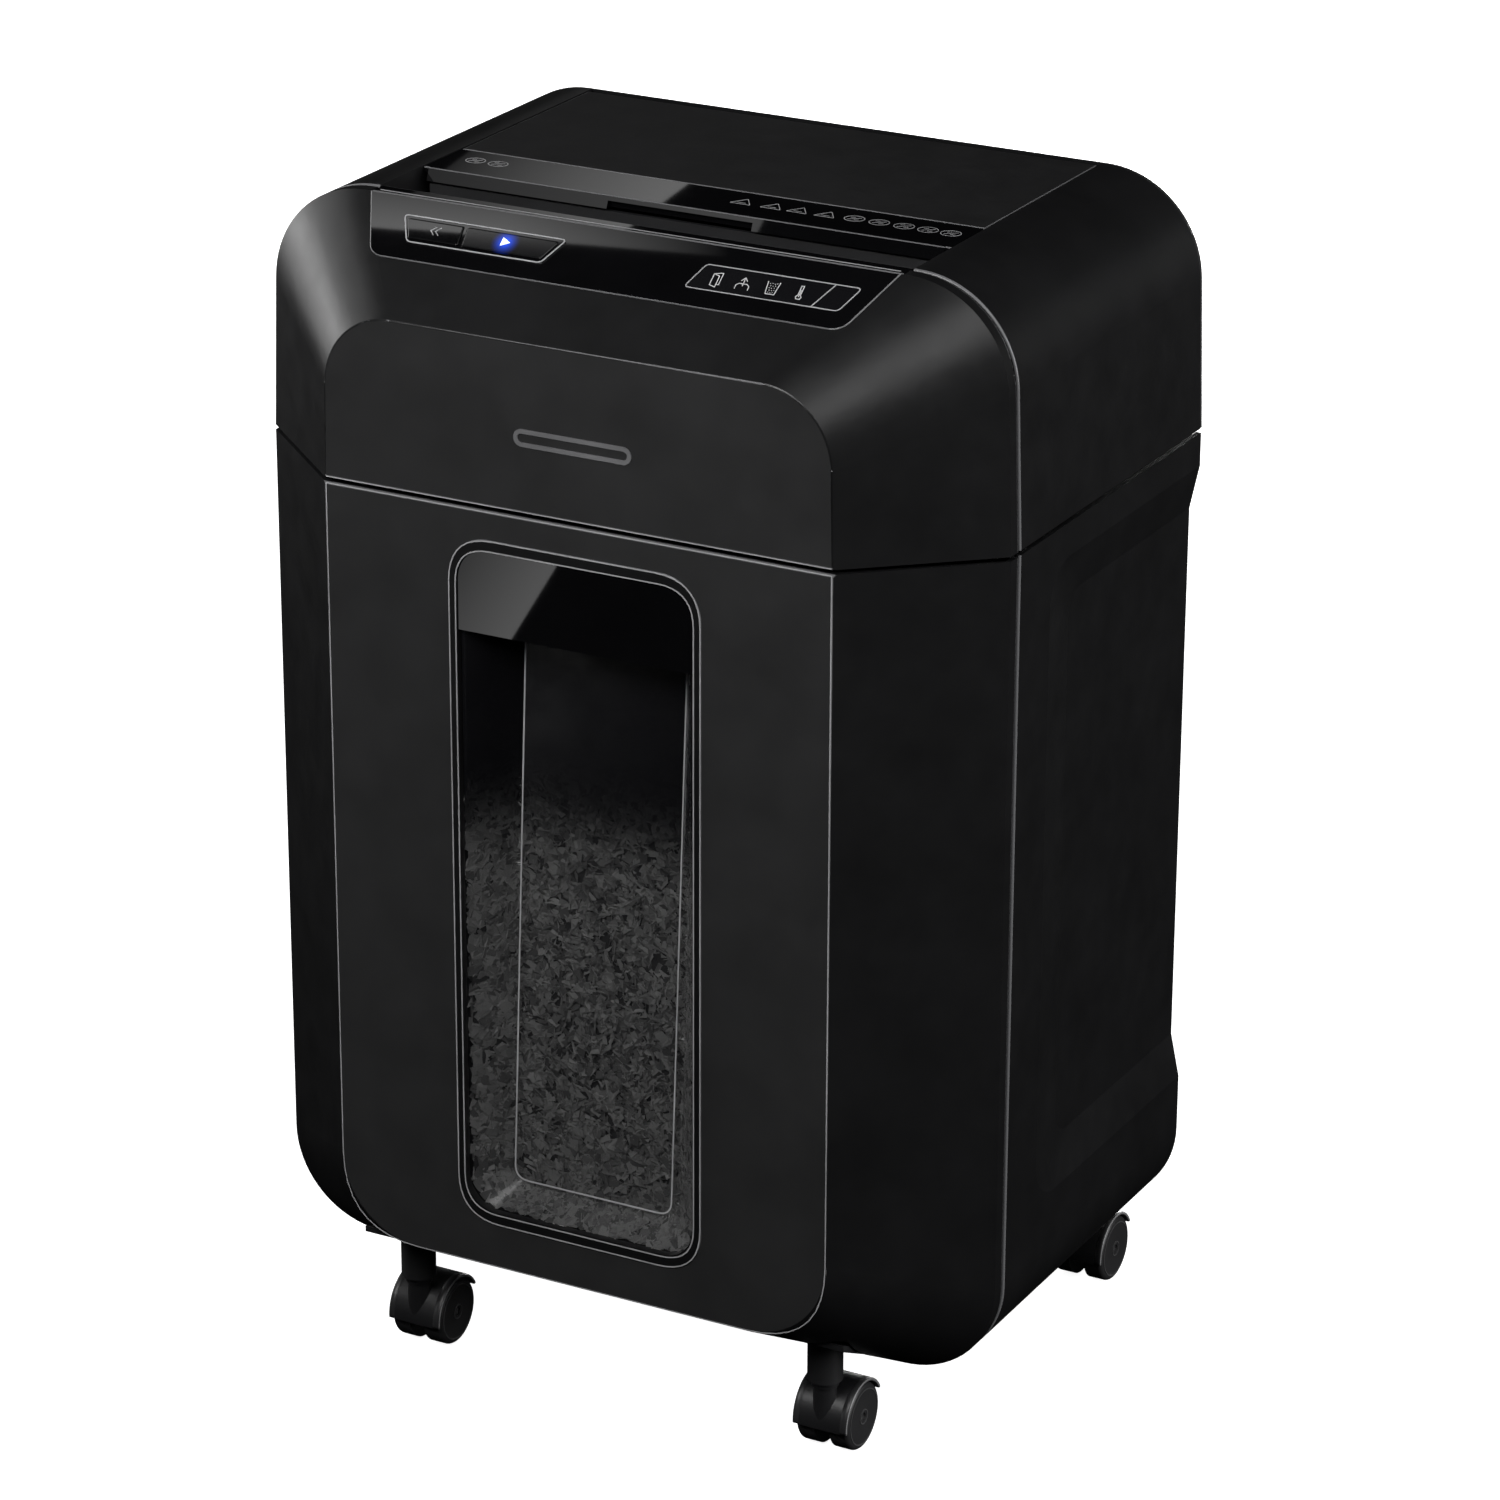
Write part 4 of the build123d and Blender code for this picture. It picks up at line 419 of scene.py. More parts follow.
def add_line(work, points, width, relief, closed):
    """One raised line with mitred corners, in millimetres."""
    points = [Vector(point) for point in points]
    count = len(points)
    rings = []
    for index, point in enumerate(points):
        before = points[index - 1] if closed or index else None
        after = points[(index + 1) % count] if closed or index < count - 1 else None
        headings = [(b - a).normalized() for a, b in ((before, point), (point, after)) if a and b]
        heading = sum(headings, Vector((0, 0))).normalized()
        side = Vector((-heading.y, heading.x))
        mitre = max(abs(heading.dot(headings[0])), 0.5)
        reach = side * width / 2 / mitre
        left, right = point + reach, point - reach
        corners = ((left, -SINK), (right, -SINK), (right, relief), (left, relief))
        rings.append([work.verts.new((flat.x, flat.y, level)) for flat, level in corners])
    pairs = list(zip(rings, rings[1:]))
    if closed:
        pairs.append((rings[-1], rings[0]))
    else:
        work.faces.new(reversed(rings[0]))
        work.faces.new(rings[-1])
    for one, two in pairs:
        for k in range(4):
            work.faces.new((one[k], one[(k + 1) % 4], two[(k + 1) % 4], two[k]))


def add_fill(work, points, relief):
    """One raised filled shape, in millimetres."""
    low = [work.verts.new((x, y, -SINK)) for x, y in points]
    high = [work.verts.new((x, y, relief)) for x, y in points]
    work.faces.new(reversed(low))
    work.faces.new(high)
    for index in range(len(points)):
        after = (index + 1) % len(points)
        work.faces.new((low[index], low[after], high[after], high[index]))


def line_piece(name, place, body, material, lines=(), fills=(), width=0.35, relief=0.12):
    """A piece of raised lines, as (points, closed), and filled shapes, as (points, relief)."""
    work = bmesh.new()
    for points, closed in lines:
        add_line(work, points, width, relief, closed)
    for points, level in fills:
        add_fill(work, points, level)
    bmesh.ops.recalc_face_normals(work, faces=work.faces)
    work.transform(place @ Matrix.Scale(MM, 4))
    place_work(name, work, material, body)


def shift(points, x, y):
    """The same points moved, in millimetres."""
    return [(point[0] + x, point[1] + y) for point in points]


def on_front(y, z=0.0):
    """Flat frame on an upright plane that faces forward."""
    return flat_frame((0, y, z), (1, 0, 0), (0, 0, 1))


# ---- control panel ----------------------------------------------------------------------------
SLOPE_TOP = Vector((0, -85.5, 557.3)) * MM
SLOPE_UP = Vector((0, 0.788, 0.616)).normalized()
SLOPE_OUT = Vector((0, -0.616, 0.788)).normalized()
BEZEL_PROUD = 0.9           # how far each part stands out of the slope, in millimetres
LENS_PROUD = 0.6
BUTTON_PROUD = 1.4


def on_slope(proud):
    """Flat frame on the sloping control area, proud of it by so many millimetres."""
    return flat_frame(SLOPE_TOP + SLOPE_OUT * proud * MM, (1, 0, 0), SLOPE_UP)


BEZEL_CORNERS = [(-107.9, -10.1), (-26.5, -10.1), (-33.6, -23.7), (-100.8, -23.7)]
LENS_CORNERS = [(42.5, -10.7), (116.5, -10.7), (110.4, -23.7), (36.9, -23.7)]
LENS_DIVIDER = [(104.3, -11.0), (97.6, -23.4)]
RIM_CORNER = 2.2
RIM_RELIEF = 0.18
# light outlines painted around the bezel and the lens, and along the lens divider, as edge highlights
line_piece(
    "bezel_rim_highlight", on_slope(BEZEL_PROUD), "root", highlight_and_print_grey,
    lines=[(rounded(BEZEL_CORNERS, RIM_CORNER), True)], width=0.6, relief=RIM_RELIEF,
)
line_piece(
    "lens_rim_highlight", on_slope(LENS_PROUD), "root", highlight_and_print_grey,
    lines=[(rounded(LENS_CORNERS, RIM_CORNER), True), (LENS_DIVIDER, False)], width=0.45, relief=RIM_RELIEF,
)

CHEVRON = [(1.3, 2.1), (-0.9, 0), (1.3, -2.1)]
line_piece(
    "reverse_symbol", on_slope(BUTTON_PROUD), "reverse_button", highlight_and_print_grey,
    lines=[(shift(CHEVRON, -90.6, -16.6), False), (shift(CHEVRON, -88.2, -16.6), False)], width=0.4,
)
PLAY_X = -54.0
PLAY_Y = -16.4
ARROW = [(-1.9, 2.3), (-1.9, -2.3), (2.4, 0)]
line_piece(
    "auto_symbol", on_slope(BUTTON_PROUD), "auto_button", lamp_white,
    fills=[(rounded(shift(ARROW, PLAY_X, PLAY_Y), 0.4, 3), 0.12)],
)
button_glow = lit_button("button_glow", on_slope(BUTTON_PROUD) @ (Vector((PLAY_X, PLAY_Y, 0)) * MM), 7.5 * MM)
for material_slot in frame["nodes"]["auto_button"].material_slots:
    material_slot.material = button_glow

DOOR = [
    ([(-1.9, -3.3), (-1.9, 2.6), (1.2, 3.4), (2.2, 3.4), (2.2, -2.6), (1.2, -2.6)], False),
    ([(-1.9, -3.3), (0.9, -4.0), (0.9, 1.8), (-1.9, 2.6)], False),
]
JAM = [
    ([(-3.1, -3.2), (-3.1, -1.2), (-1.9, -0.2), (1.9, -0.2), (3.1, -1.2), (3.1, -3.2)], False),
    ([(0, -1.4), (0, 2.4)], False),
    ([(-1.5, 1.2), (0, 3.0), (1.5, 1.2)], False),
]
BASKET = [([(-2.9, 3.2), (-2.1, -3.2), (2.1, -3.2), (2.9, 3.2)], False)]
SPECKS = (
    (-1.6, 2.2), (-0.5, 2.4), (0.7, 2.1), (1.7, 2.5), (-1.1, 1.1), (0.1, 1.0), (1.2, 1.2), (-1.4, 0),
    (-0.2, -0.2), (1.0, 0.1), (-0.9, -1.2), (0.3, -1.3), (1.3, -1.0), (-1.1, -2.3), (0, -2.4), (1.0, -2.2),
)
HEAT_OUTLINE = [
    (-0.6, 3.4), (0.6, 3.4), (0.6, -1.3), (1.3, -2.3), (0.9, -3.4), (-0.9, -3.4), (-1.3, -2.3), (-0.6, -1.3),
]
HEAT = [(HEAT_OUTLINE, True), ([(0, 1.2), (0, -2.2)], False)]
SYMBOL_Y = -17.5
SYMBOL_RELIEF = 0.08
BASKET_X = 76.6
symbol_lines = [
    (shift(points, x, SYMBOL_Y), closed)
    for x, symbol in ((49.8, DOOR), (62.9, JAM), (BASKET_X, BASKET), (90.1, HEAT))
    for points, closed in symbol
]
specks = [shift(oval(x, y, 0.22, 0.22, 6), BASKET_X, SYMBOL_Y) for x, y in SPECKS]
line_piece(
    "lens_symbols", on_slope(LENS_PROUD), "root", print_white, lines=symbol_lines,
    fills=[(speck, SYMBOL_RELIEF) for speck in specks], width=0.38, relief=SYMBOL_RELIEF,
)

# ---- plain symbols on the lid strip -----------------------------------------------------------
ROUND_SYMBOL_X = (-115.7, -104.0, 75.0, 87.0, 99.0, 110.5, 121.5)
TRIANGLE_X = (20.6, 35.5, 48.3, 61.8)
strip_low, strip_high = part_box("lid_trim")
strip_place = flat_frame((0, (strip_low.y + strip_high.y) / 2, strip_high.z), (1, 0, 0), (0, 1, 0))
strip_lines = []
for x in ROUND_SYMBOL_X:
    strip_lines.append((oval(x, 0, 4.6, 4.0), True))
    strip_lines.append(([(x - 2.6, -2.0), (x + 2.6, 2.0)], False))
    strip_lines.append(([(x - 2.4, 1.2), (x - 0.4, 1.8)], False))
    strip_lines.append(([(x + 0.6, -1.9), (x + 2.6, -1.3)], False))
for x in TRIANGLE_X:
    strip_lines.append((rounded([(x - 5.0, -3.8), (x + 5.0, -3.8), (x, 4.2)], 0.8, 3), True))
    strip_lines.append(([(x - 2.0, -2.0), (x + 2.0, -2.0)], False))
line_piece(
    "strip_symbols", strip_place, "lid", highlight_and_print_grey, lines=strip_lines, width=0.3, relief=0.06,
)

# ---- painted highlight lines on the edges of the front panels ---------------------------------
PANEL_HALF = 125.1
PANEL_LOW = 73.4
front_low, front_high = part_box("bin_front")
cover_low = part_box("head_front_cover")[0]
bin_top = front_high.z / MM - 0.5
cover_bottom = cover_low.z / MM + 0.4
bin_outline = [
    (-PANEL_HALF, bin_top), (-PANEL_HALF, PANEL_LOW), (PANEL_HALF, PANEL_LOW), (PANEL_HALF, bin_top),
]
line_piece(
    "bin_front_edge_highlight", on_front(front_low.y), "bin", highlight_and_print_grey,
    lines=[(rounded(bin_outline, [0.5, 40, 40, 0.5], 9), True)], width=0.5, relief=0.05,
)
line_piece(
    "head_front_edge_highlight", on_front(cover_low.y), "root", highlight_and_print_grey,
    lines=[([(-PANEL_HALF, cover_bottom), (PANEL_HALF, cover_bottom)], False)], width=0.5, relief=0.05,
)

# ---- window -----------------------------------------------------------------------------------
bezel_low, bezel_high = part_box("window_bezel")
window_middle = (bezel_low + bezel_high) / 2


def upright_outline(half_width, half_height, radius):
    """A closed rounded outline around the middle, in millimetres."""
    w, h = half_width, half_height
    return rounded([(-w, -h), (w, -h), (w, h), (-w, h)], radius, 9)


bezel_half_width = (bezel_high.x - bezel_low.x) / 2 / MM
bezel_half_height = (bezel_high.z - bezel_low.z) / 2 / MM
# light outlines painted along the bezel's outer and inner edges as highlights
line_piece(
    "window_rim_highlight", on_front(bezel_low.y, window_middle.z), "bin", highlight_and_print_grey,
    lines=[
        (upright_outline(bezel_half_width - 0.45, bezel_half_height - 0.45, 22), True),
        (upright_outline(bezel_half_width - 3.7, bezel_half_height - 5.2, 17.5), True),
    ],
    width=0.55, relief=0.15,
)

BACKWARD = Vector((0, 1, 0))
insert_solid = solid_of("window_insert")
pocket_points = [
    insert_solid.ray_cast(Vector((0, -0.2, window_middle.z + rise)), BACKWARD)[0] for rise in (-0.05, 0.05)
]
pocket_up = (pocket_points[1] - pocket_points[0]).normalized()
pocket_place = flat_frame((pocket_points[0] + pocket_points[1]) / 2, (1, 0, 0), pocket_up)
# a light outline painted around the pocket's edge as a highlight
line_piece(
    "pocket_rim_highlight", pocket_place, "bin", highlight_and_print_grey,
    lines=[(upright_outline(40.6, 146.6, 7), True)], width=0.7, relief=0.25,
)

# ---- paper shreds -----------------------------------------------------------------------------
UPWARD = Vector((0, 0, 1))
BEHIND_WINDOW_Y = -0.067    # a depth well behind the window
PILE_BACK_Y = -0.097
PILE_HALF = 0.0575
PILE_LOW = 0.103
PILE_GAP = 0.0022           # from the window's inner face to the shred block
PACKED_FLAKES = 4600
SIDE_FLAKES = 2600
LOWER_FLAKES = 700
LOOSE_FLAKES = 3400
FLAKE_THICKNESS = 0.14 * MM
FLAKE_TONES = (0.3, 0.55, 0.75, 0.9, 1.0)
chance = random.Random(7)


def behind_window(x, z):
    """How far forward shreds can lie behind the window at a place, or none outside it."""
    hit = insert_solid.ray_cast(Vector((x, BEHIND_WINDOW_Y, z)), -BACKWARD)[0]
    return hit.y if hit else None


def bumps(x, z, size):
    """Smooth unevenness from -1 to 1."""
    return mathutils.noise.noise(Vector((x / size, z / size, 0.4)))


def pile_front(x, z):
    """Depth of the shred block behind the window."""
    forward = behind_window(x, z)
    if forward is None:
        return PILE_BACK_Y - 0.002
    return min(forward + PILE_GAP + 0.0012 * bumps(x, z, 0.006), PILE_BACK_Y - 0.001)


def add_block(work, columns, rows, front, back):
    """A closed block between two surfaces over a grid. Surfaces are functions of column and row."""
    sheets = [[[work.verts.new(surface(a, b)) for b in rows] for a in columns] for surface in (front, back)]
    last_a, last_b = len(columns) - 1, len(rows) - 1
    for sheet in sheets:
        for i in range(last_a):
            for j in range(last_b):
                work.faces.new((sheet[i][j], sheet[i + 1][j], sheet[i + 1][j + 1], sheet[i][j + 1]))
    border = [(i, 0) for i in range(last_a)] + [(last_a, j) for j in range(last_b)]
    border += [(i, last_b) for i in range(last_a, 0, -1)] + [(0, j) for j in range(last_b, 0, -1)]
    for index, (i, j) in enumerate(border):
        k, m = border[(index + 1) % len(border)]
        work.faces.new((sheets[0][i][j], sheets[0][k][m], sheets[1][k][m], sheets[1][i][j]))


def span(low, high, step):
    """Evenly spaced values from low to high."""
    count = max(1, round((high - low) / step))
    return [low + (high - low) * k / count for k in range(count + 1)]


HEAP_HALF = 0.149
HEAP_FRONT_Y = -0.099
HEAP_BACK_Y = 0.092
HEAP_LOW = 0.0745
HEAP_CORNER = 0.036         # the bin's bottom corners are round


def heap_top(x, y):
    """Level of the loose shreds in the bin."""
    crown = 0.012 * (1 - (x / HEAP_HALF) ** 2) - 0.01 * ((y + 0.06) / 0.15) ** 2
    return PILE_TOP - 0.014 + crown + 0.004 * bumps(x, y, 0.03) + 0.002 * bumps(x, y, 0.008)


def heap_bottom(x, y):
    """Level of the underside, lifted over the round bottom corners."""
    into = max(0.0, abs(x) - (HEAP_HALF - HEAP_CORNER))
    return HEAP_LOW + HEAP_CORNER - math.sqrt(max(HEAP_CORNER ** 2 - into ** 2, 0.0))


def flake_faces():
    """The corners of a flake's faces, by number. Its points come as three rings of four."""
    faces = []
    for base in (0, 4):
        one = (base, base + 1, base + 3, base + 2)
        two = tuple(corner + 4 for corner in one)
        faces += [(one[0], one[1], two[1], two[0]), (one[3], two[3], two[2], one[2])]
        faces += [(one[1], one[2], two[2], two[1]), (one[0], two[0], two[3], one[3])]
    return faces + [(0, 2, 3, 1), (8, 9, 11, 10)]


FLAKE_FACES = flake_faces()


def add_flake(work, layer, place, out, lean, keep):
    """One curled flake of paper, leaning by about so many radians. keep moves it where it fits."""
    half_length = chance.uniform(2.6, 5.2) * MM
    half_width = chance.uniform(1.8, 2.8) * MM
    curl = chance.uniform(-0.5, 0.5)
    skew = chance.uniform(-0.8, 0.8) * MM
    across = out.orthogonal().normalized()
    across.rotate(Quaternion(out, chance.uniform(0, 2 * math.pi)))
    along = out.cross(across)
    tilt = Quaternion(across, chance.gauss(0, lean)) @ Quaternion(along, chance.gauss(0, lean))
    points = []
    for t in (-1, 0, 1):
        for thickness in (0.0, FLAKE_THICKNESS):
            for side in (-1, 1):
                width = half_width * (1 - 0.25 * t * chance.random())
                local = along * (half_length * t + skew * side) + across * (width * side)
                local += out * (curl * half_length * (t * t - 0.5) * 0.8 + thickness)
                points.append(tilt @ local + place)
    verts = [work.verts.new(point) for point in keep(points)]
    shade = chance.choice(FLAKE_TONES) * chance.uniform(0.85, 1.0)
    for corners in FLAKE_FACES:
        face = work.faces.new([verts[k] for k in corners])
        face[layer] = shade


def clear_of_window(points):
    """Moves a flake back until it is behind the window."""
    deepest = 0.0
    for point in points:
        forward = behind_window(point.x, point.z)
        limit = PILE_BACK_Y - 0.002 if forward is None else forward + 0.0004
        deepest = max(deepest, limit - point.y)
    return [point + BACKWARD * deepest for point in points]


def add_outside_flake(work, layer, start, heading):
    """A flake lying against a slanted border of the window pocket."""
    hit, normal, _, _ = insert_solid.ray_cast(start, heading)
    if not hit:
        return
    outward = normal if normal.dot(heading) < 0 else -normal

    def outside(points):
        """Moves the flake out until all of it is past the border."""
        nearest = min((point - hit).dot(outward) for point in points)
        return [point + outward * max(0.0, 0.0003 - nearest) for point in points]

    add_flake(work, layer, hit + outward * 0.001, -outward, 0.22, outside)


def shred_piece(name, work):
    """Finishes a mass of shreds as a piece of the bin."""
    bmesh.ops.recalc_face_normals(work, faces=work.faces)
    place_work(name, work, paper_shreds, "bin")


def add_packed_shreds():
    """The shreds pressed against the window."""
    work = bmesh.new()
    shade = work.faces.layers.float.new("shade")
    # the block keeps shade 0, the darkest paper colour: painted shade in the gaps between flakes
    add_block(
        work, span(-PILE_HALF, PILE_HALF, 0.002), span(PILE_LOW, PILE_TOP - 0.004, 0.002),
        lambda x, z: (x, pile_front(x, z), z), lambda x, z: (x, PILE_BACK_Y, z),
    )
    for _ in range(PACKED_FLAKES):
        x = chance.uniform(-PILE_HALF + 0.008, PILE_HALF - 0.008)
        z = chance.uniform(PILE_LOW, PILE_TOP)
        forward = behind_window(x, z)
        if forward is not None:
            add_flake(work, shade, Vector((x, forward + PILE_GAP, z)), -BACKWARD, 0.5, clear_of_window)
    shred_piece("packed_shreds", work)


def add_border_shreds():
    """The shreds against the slanted borders of the window."""
    work = bmesh.new()
    shade = work.faces.layers.float.new("shade")
    for _ in range(SIDE_FLAKES):
        side = chance.choice((-1, 1))
        start = Vector((side * 0.075, chance.uniform(-0.132, -0.107), chance.uniform(PILE_LOW, PILE_TOP)))
        add_outside_flake(work, shade, start, Vector((-side, 0, 0)))
    for _ in range(LOWER_FLAKES):
        start = Vector((chance.uniform(-0.052, 0.052), chance.uniform(-0.132, -0.120), 0.09))
        add_outside_flake(work, shade, start, UPWARD)
    shred_piece("border_shreds", work)


def add_loose_shreds():
    """The loose heap that fills the bin."""
    work = bmesh.new()
    shade = work.faces.layers.float.new("shade")
    # the block keeps shade 0, the darkest paper colour: painted shade in the gaps between flakes
    add_block(
        work, span(-HEAP_HALF, HEAP_HALF, 0.004), span(HEAP_FRONT_Y, HEAP_BACK_Y, 0.004),
        lambda x, y: (x, y, heap_top(x, y)), lambda x, y: (x, y, heap_bottom(x, y)),
    )
    for _ in range(LOOSE_FLAKES):
        x = chance.uniform(-HEAP_HALF + 0.004, HEAP_HALF - 0.004)
        y = chance.uniform(HEAP_FRONT_Y + 0.004, HEAP_BACK_Y - 0.004)
        add_flake(work, shade, Vector((x, y, heap_top(x, y) + 0.0012)), UPWARD, 0.4, list)
    shred_piece("loose_shreds", work)


add_packed_shreds()
add_border_shreds()
add_loose_shreds()

# ---- casters ----------------------------------------------------------------------------------
FENDER_OUT_R = 18.3
FENDER_IN_R = 16.7
FENDER_REACH = 13.9         # from the caster's middle to the fender's outer rim
FENDER_START = math.radians(28)
FENDER_END = math.radians(184)
FENDER_STEPS = 40


def add_fender(place):
    """Two curved guards that carry the hood on over the wheels, each with a rolled outer rim that takes a
    painted highlight tone.
    """
    low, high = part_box(f"caster_{place}_hood")
    wheel_low, wheel_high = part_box(f"caster_{place}_wheels")
    middle = (wheel_low + wheel_high) / 2
    inner = (high.x - low.x) / 2 / MM - 0.4
    profile = [
        (inner, FENDER_IN_R), (inner, FENDER_OUT_R),
        (FENDER_REACH - 0.9, FENDER_OUT_R), (FENDER_REACH - 0.25, FENDER_OUT_R - 0.2),
        (FENDER_REACH, FENDER_OUT_R - 0.75), (FENDER_REACH - 0.25, FENDER_IN_R + 0.2),
        (FENDER_REACH - 0.9, FENDER_IN_R),
    ]
    work = bmesh.new()
    rim = work.faces.layers.float.new("edge")
    for side in (-1, 1):
        rings = []
        for step in range(FENDER_STEPS + 1):
            angle = FENDER_START + (FENDER_END - FENDER_START) * step / FENDER_STEPS
            rings.append([
                work.verts.new((
                    middle.x + side * reach * MM,
                    middle.y + radius * MM * math.cos(angle),
                    middle.z + radius * MM * math.sin(angle),
                ))
                for reach, radius in profile
            ])
        for one, two in zip(rings, rings[1:]):
            for k in range(len(profile)):
                after = (k + 1) % len(profile)
                face = work.faces.new((one[k], one[after], two[after], two[k]))
                # the rim faces take the wheel plastic's painted highlight tone
                face[rim] = 1.0 if k in (3, 4) else 0.0
        work.faces.new(rings[0])
        work.faces.new(rings[-1])
    bmesh.ops.recalc_face_normals(work, faces=work.faces)
    for face in work.faces:
        face.smooth = True
    place_work(f"caster_{place}_fender", work, wheel_grey, f"caster_{place}")


def add_wheel_rings(place):
    """Fine raised rings on the outer faces of both wheels."""
    low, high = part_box(f"caster_{place}_wheels")
    middle = (low + high) / 2
    for side, label, x in ((-1, "left", low.x), (1, "right", high.x)):
        face_frame = flat_frame((x, middle.y, middle.z), (0, side, 0), (0, 0, 1))
        line_piece(
            f"wheel_ring_{place}_{label}", face_frame, f"wheels_{place}", ring_grey,
            lines=[(oval(0, 0, 13.3, 13.3, 64), True), (oval(0, 0, 3.4, 3.4, 32), True)],
            width=0.5, relief=0.3,
        )


for caster_place in ("front_left", "front_right", "rear_left", "rear_right"):
    add_fender(caster_place)
    add_wheel_rings(caster_place)


# ---- back: inlet pins, rocker marks and screws ------------------------------------------------
def back_frame(node, x, z):
    """Flat frame on the rear surface of a node, seen from behind."""
    point, normal, _, _ = solid_of(node).ray_cast(Vector((x, 0.2, z)), -BACKWARD)
    return flat_frame(point, UPWARD.cross(normal), UPWARD)


INLET_X = -0.108            # where the pins stand, across the back
PIN_REACH = 7.0
PIN = rounded([(-1.1, -2.1), (1.1, -2.1), (1.1, 2.1), (-1.1, 2.1)], 0.4, 3)
PIN_PLACES = ((-6.5, -2.0), (6.5, -2.0), (0, 3.0))
inlet_low, inlet_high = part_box("power_inlet")
line_piece(
    "inlet_pins", back_frame("power_inlet", INLET_X, (inlet_low.z + inlet_high.z) / 2), "root",
    plain_steel, fills=[(shift(PIN, x, y), PIN_REACH) for x, y in PIN_PLACES],
)

rocker_low, rocker_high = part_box("power_rocker")
rocker_x = (rocker_low.x + rocker_high.x) / 2
rocker_reach = (rocker_high.x - rocker_low.x) / 4
for label, x, mark in (
    ("off", rocker_x - rocker_reach, (oval(0, 0, 1.3, 1.3, 24), True)),
    ("on", rocker_x + rocker_reach, ([(0, -1.5), (0, 1.5)], False)),
):
    line_piece(
        f"rocker_mark_{label}", back_frame("power_rocker", x, (rocker_low.z + rocker_high.z) / 2),
        "power_rocker", print_white, lines=[mark], width=0.4, relief=0.06,
    )


def half_disc(radius, slot_half, side):
    """One side of a slotted round screw head, in millimetres."""
    start = math.asin(slot_half / radius)
    steps = 16
    angles = [start + (math.pi - 2 * start) * k / steps for k in range(steps + 1)]
    return [(radius * math.cos(angle) * side, radius * math.sin(angle) * side) for angle in angles]


SCREW_R = 3.0
SLOT_HALF = 0.45
SCREW_RISE = 0.45
SCREW_PLACES = (
    ("cabinet_back", 0.112, 0.085), ("cabinet_back", -0.112, 0.085),
    ("cabinet_back", 0.112, 0.418), ("cabinet_back", -0.112, 0.418),
    ("head_back_cover", 0.112, 0.452), ("head_back_cover", -0.036, 0.452),
)
for index, (screw_node, x, z) in enumerate(SCREW_PLACES):
    line_piece(
        f"back_screw_{index}", back_frame(screw_node, x, z), "root", plain_steel,
        fills=[(oval(0, 0, 3.1, 3.1, 32), -0.01)]
        + [(half_disc(SCREW_R, SLOT_HALF, side), SCREW_RISE) for side in (1, -1)],
    )

# ---- throat -----------------------------------------------------------------------------------
THROAT_HALF = 128
guide_solid = solid_of("throat_front_guide")


def guide_top(y):
    """Level of the throat's front lip at a depth."""
    return guide_solid.ray_cast(Vector((0, y, 0.7)), -UPWARD)[0].z


# light lines painted along both edges of the throat's lip as highlights
for label, lip_y in (("front", -0.0815), ("rear", -0.0742)):
    line_piece(
        f"throat_edge_highlight_{label}", flat_frame((0, lip_y, guide_top(lip_y)), (1, 0, 0), (0, 1, 0)), "root",
        highlight_and_print_grey, lines=[([(-THROAT_HALF, 0), (THROAT_HALF, 0)], False)], width=0.6,
    )

# ---- camera, light and floor ------------------------------------------------------------------
CAMERA_AZIMUTH = math.radians(28.2)
CAMERA_ELEVATION = math.radians(21.7)
CAMERA_ROLL = math.radians(0.22)
CAMERA_DISTANCE = 2.56
CAMERA_TARGET = Vector((0.0095, 0.0074, 0.2874))
CAMERA_LENS = 133.7


def add_camera():
    """A long lens from the front right, above."""
    data = bpy.data.cameras.new("camera")
    data.lens = CAMERA_LENS
    data.sensor_width = 36.0
    camera = bpy.data.objects.new("camera", data)
    bpy.context.scene.collection.objects.link(camera)
    back = Vector((
        math.sin(CAMERA_AZIMUTH) * math.cos(CAMERA_ELEVATION),
        -math.cos(CAMERA_AZIMUTH) * math.cos(CAMERA_ELEVATION),
        math.sin(CAMERA_ELEVATION),
    ))
    right = UPWARD.cross(back).normalized()
    up = back.cross(right)
    right_rolled = right * math.cos(CAMERA_ROLL) + up * math.sin(CAMERA_ROLL)
    up_rolled = up * math.cos(CAMERA_ROLL) - right * math.sin(CAMERA_ROLL)
    turn = Matrix((right_rolled, up_rolled, back)).transposed().to_4x4()
    camera.matrix_world = Matrix.Translation(CAMERA_TARGET + back * CAMERA_DISTANCE) @ turn
    bpy.context.scene.camera = camera


def area_light(name, size, power):
    """A rectangular area light, out of the camera's sight."""
    data = bpy.data.lights.new(name, "AREA")
    data.shape = "RECTANGLE"
    data.size, data.size_y = size
    data.energy = power
    light = bpy.data.objects.new(name, data)
    bpy.context.scene.collection.objects.link(light)
    light.visible_camera = False
    return light


def add_softbox(name, place, aim, size, power):
    """A large soft light, aimed at a point."""
    light = area_light(name, size, power)
    light.location = place
    light.rotation_euler = (Vector(aim) - Vector(place)).to_track_quat("-Z", "Y").to_euler()


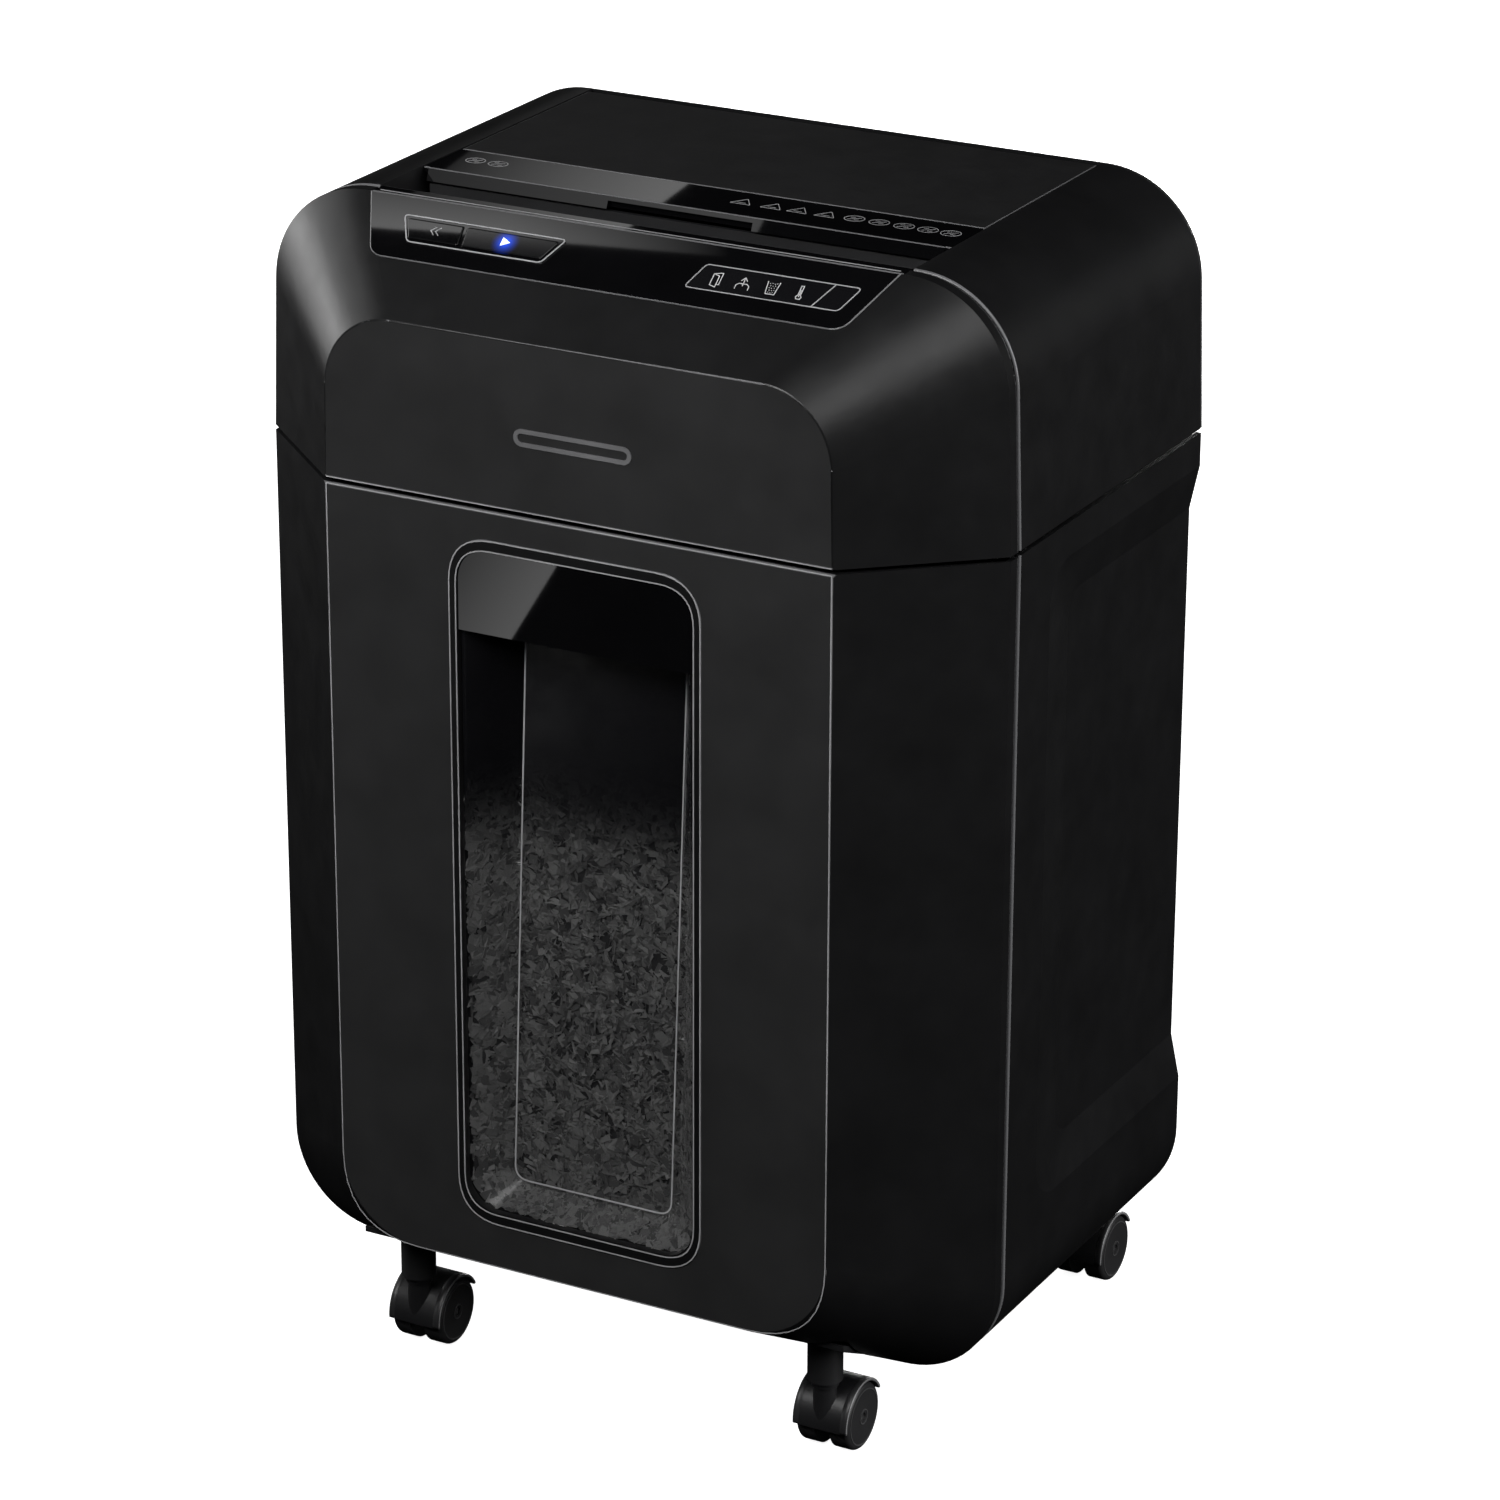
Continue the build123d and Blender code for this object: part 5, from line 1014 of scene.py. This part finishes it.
def add_reflector(name, edge, aim, along, towards, reach, length, radiance, soft_end=0.01):
    """A small softbox that shows as a fading patch in gloss surfaces.

    It is bright at its edge and fades out over its reach. soft_end is the share of its length, at one
    end, over which it fades in.
    """
    edge = Vector(edge)
    back = (edge - Vector(aim)).normalized()
    up = Vector(along)
    up = (up - back * up.dot(back)).normalized()
    across = up.cross(back)
    if across.dot(Vector(towards)) < 0:
        up, across = -up, -across
    light = area_light(name, (reach, length), radiance * math.pi * reach * length)
    light.data.use_nodes = True
    tree = light.data.node_tree
    emission = next(node for node in tree.nodes if node.type == "EMISSION")
    surface = tree.nodes.new("ShaderNodeNewGeometry")
    split = tree.nodes.new("ShaderNodeSeparateXYZ")
    tree.links.new(surface.outputs["Parametric"], split.inputs[0])
    fade = remap(tree, split.outputs["X"], 1.0, 0.12, 0.0, 1.0)
    end = remap(tree, split.outputs["Y"], 0.0, 1.0, 0.0, soft_end)
    tree.links.new(combine(tree, "MULTIPLY", fade, end), emission.inputs["Strength"])
    turn = Matrix((across, up, back)).transposed().to_4x4()
    light.matrix_world = Matrix.Translation(edge + across * reach / 2) @ turn
    light.visible_diffuse = False


def add_floor():
    """A plain pale floor that doesn't show in the black plastic."""
    reach = 40.0
    corners = [(-reach, -reach, 0), (reach, -reach, 0), (reach, reach, 0), (-reach, reach, 0)]
    mesh = bpy.data.meshes.new("floor")
    mesh.from_pydata(corners, [], [(0, 1, 2, 3)])
    floor = bpy.data.objects.new("floor", mesh)
    bpy.context.scene.collection.objects.link(floor)
    material, tree, shader = new_material("floor_pale")
    patches = remap(tree, noise(tree, 3), 0, 1)
    tone = blend_colors(tree, patches, (0.90, 0.90, 0.90), (0.92, 0.92, 0.92))
    tree.links.new(tone, shader.inputs["Base Color"])
    shader.inputs["Roughness"].default_value = 0.9
    shader.inputs["Specular IOR Level"].default_value = 0.1
    shader.inputs["Emission Color"].default_value = (1, 1, 1, 1)
    shader.inputs["Emission Strength"].default_value = 0.92
    mesh.materials.append(material)
    floor.visible_glossy = False
    floor.visible_diffuse = False


def add_world():
    """Plain white surroundings that only the camera sees."""
    world = bpy.data.worlds.new("studio")
    bpy.context.scene.world = world
    world.use_nodes = True
    background = world.node_tree.nodes["Background"]
    background.inputs["Color"].default_value = (1, 1, 1, 1)
    background.inputs["Strength"].default_value = 1.0
    world.cycles_visibility.glossy = False
    world.cycles_visibility.diffuse = False


add_camera()
add_floor()
add_world()
bpy.context.scene.view_settings.view_transform = "Standard"
add_softbox("key_above", (0.9, 0.4, 2.4), (0, 0, 0.4), (1.2, 1.2), 4)
add_softbox("left_wall", (-2.2, 0.4, 1.3), (0, 0, 0.4), (1.2, 1.6), 21)
add_softbox("left_fill", (-2.4, -0.3, 0.6), (0, 0, 0.3), (1.4, 0.9), 11)
add_softbox("cheek_light", (1.35, -1.4, 1.9), (0.1, -0.1, 0.5), (1.1, 1.1), 14)
add_softbox("front_fill", (-0.15, -1.2, 1.25), (0, -0.1, 0.35), (0.6, 0.5), 12.5)
add_softbox("right_fill", (2.6, 0.3, 0.9), (0, 0, 0.3), (1.6, 1.6), 54)
add_softbox("back_light", (-0.3, 2.6, 0.32), (0, 0.1, 0.3), (1.4, 0.4), 55)
add_reflector(
    "strip_shine", edge=(-0.716, 1.239, 0.974), aim=(-0.0115, -0.0178, 0.5571),
    along=(-0.0171, -0.0145, 0.0156), towards=(-0.87, -0.48, 0), reach=0.11, length=0.36, radiance=0.55,
)
add_reflector(
    "slope_shine", edge=(-0.764, -0.209, 1.852), aim=(-0.0297, -0.0953, 0.5496),
    along=(0.304, 0.012, 0.169), towards=(0, 1, 0), reach=0.045, length=0.26, radiance=2.4, soft_end=0.6,
)
add_reflector(
    "window_shine", edge=(-0.401, -0.783, 0.126), aim=(-0.0197, -0.1363, 0.4012),
    along=(0.0161, -0.027, 0.041), towards=(-0.9, 0.4, 0), reach=0.07, length=0.10, radiance=1.9,
)
add_reflector(
    "band_shine", edge=(-0.592, -1.12, 0.98), aim=(-0.021, -0.043, 0.554),
    along=(0.1, 0, 1.0), towards=(-0.9, 0.4, 0), reach=0.30, length=0.30, radiance=1.3,
)
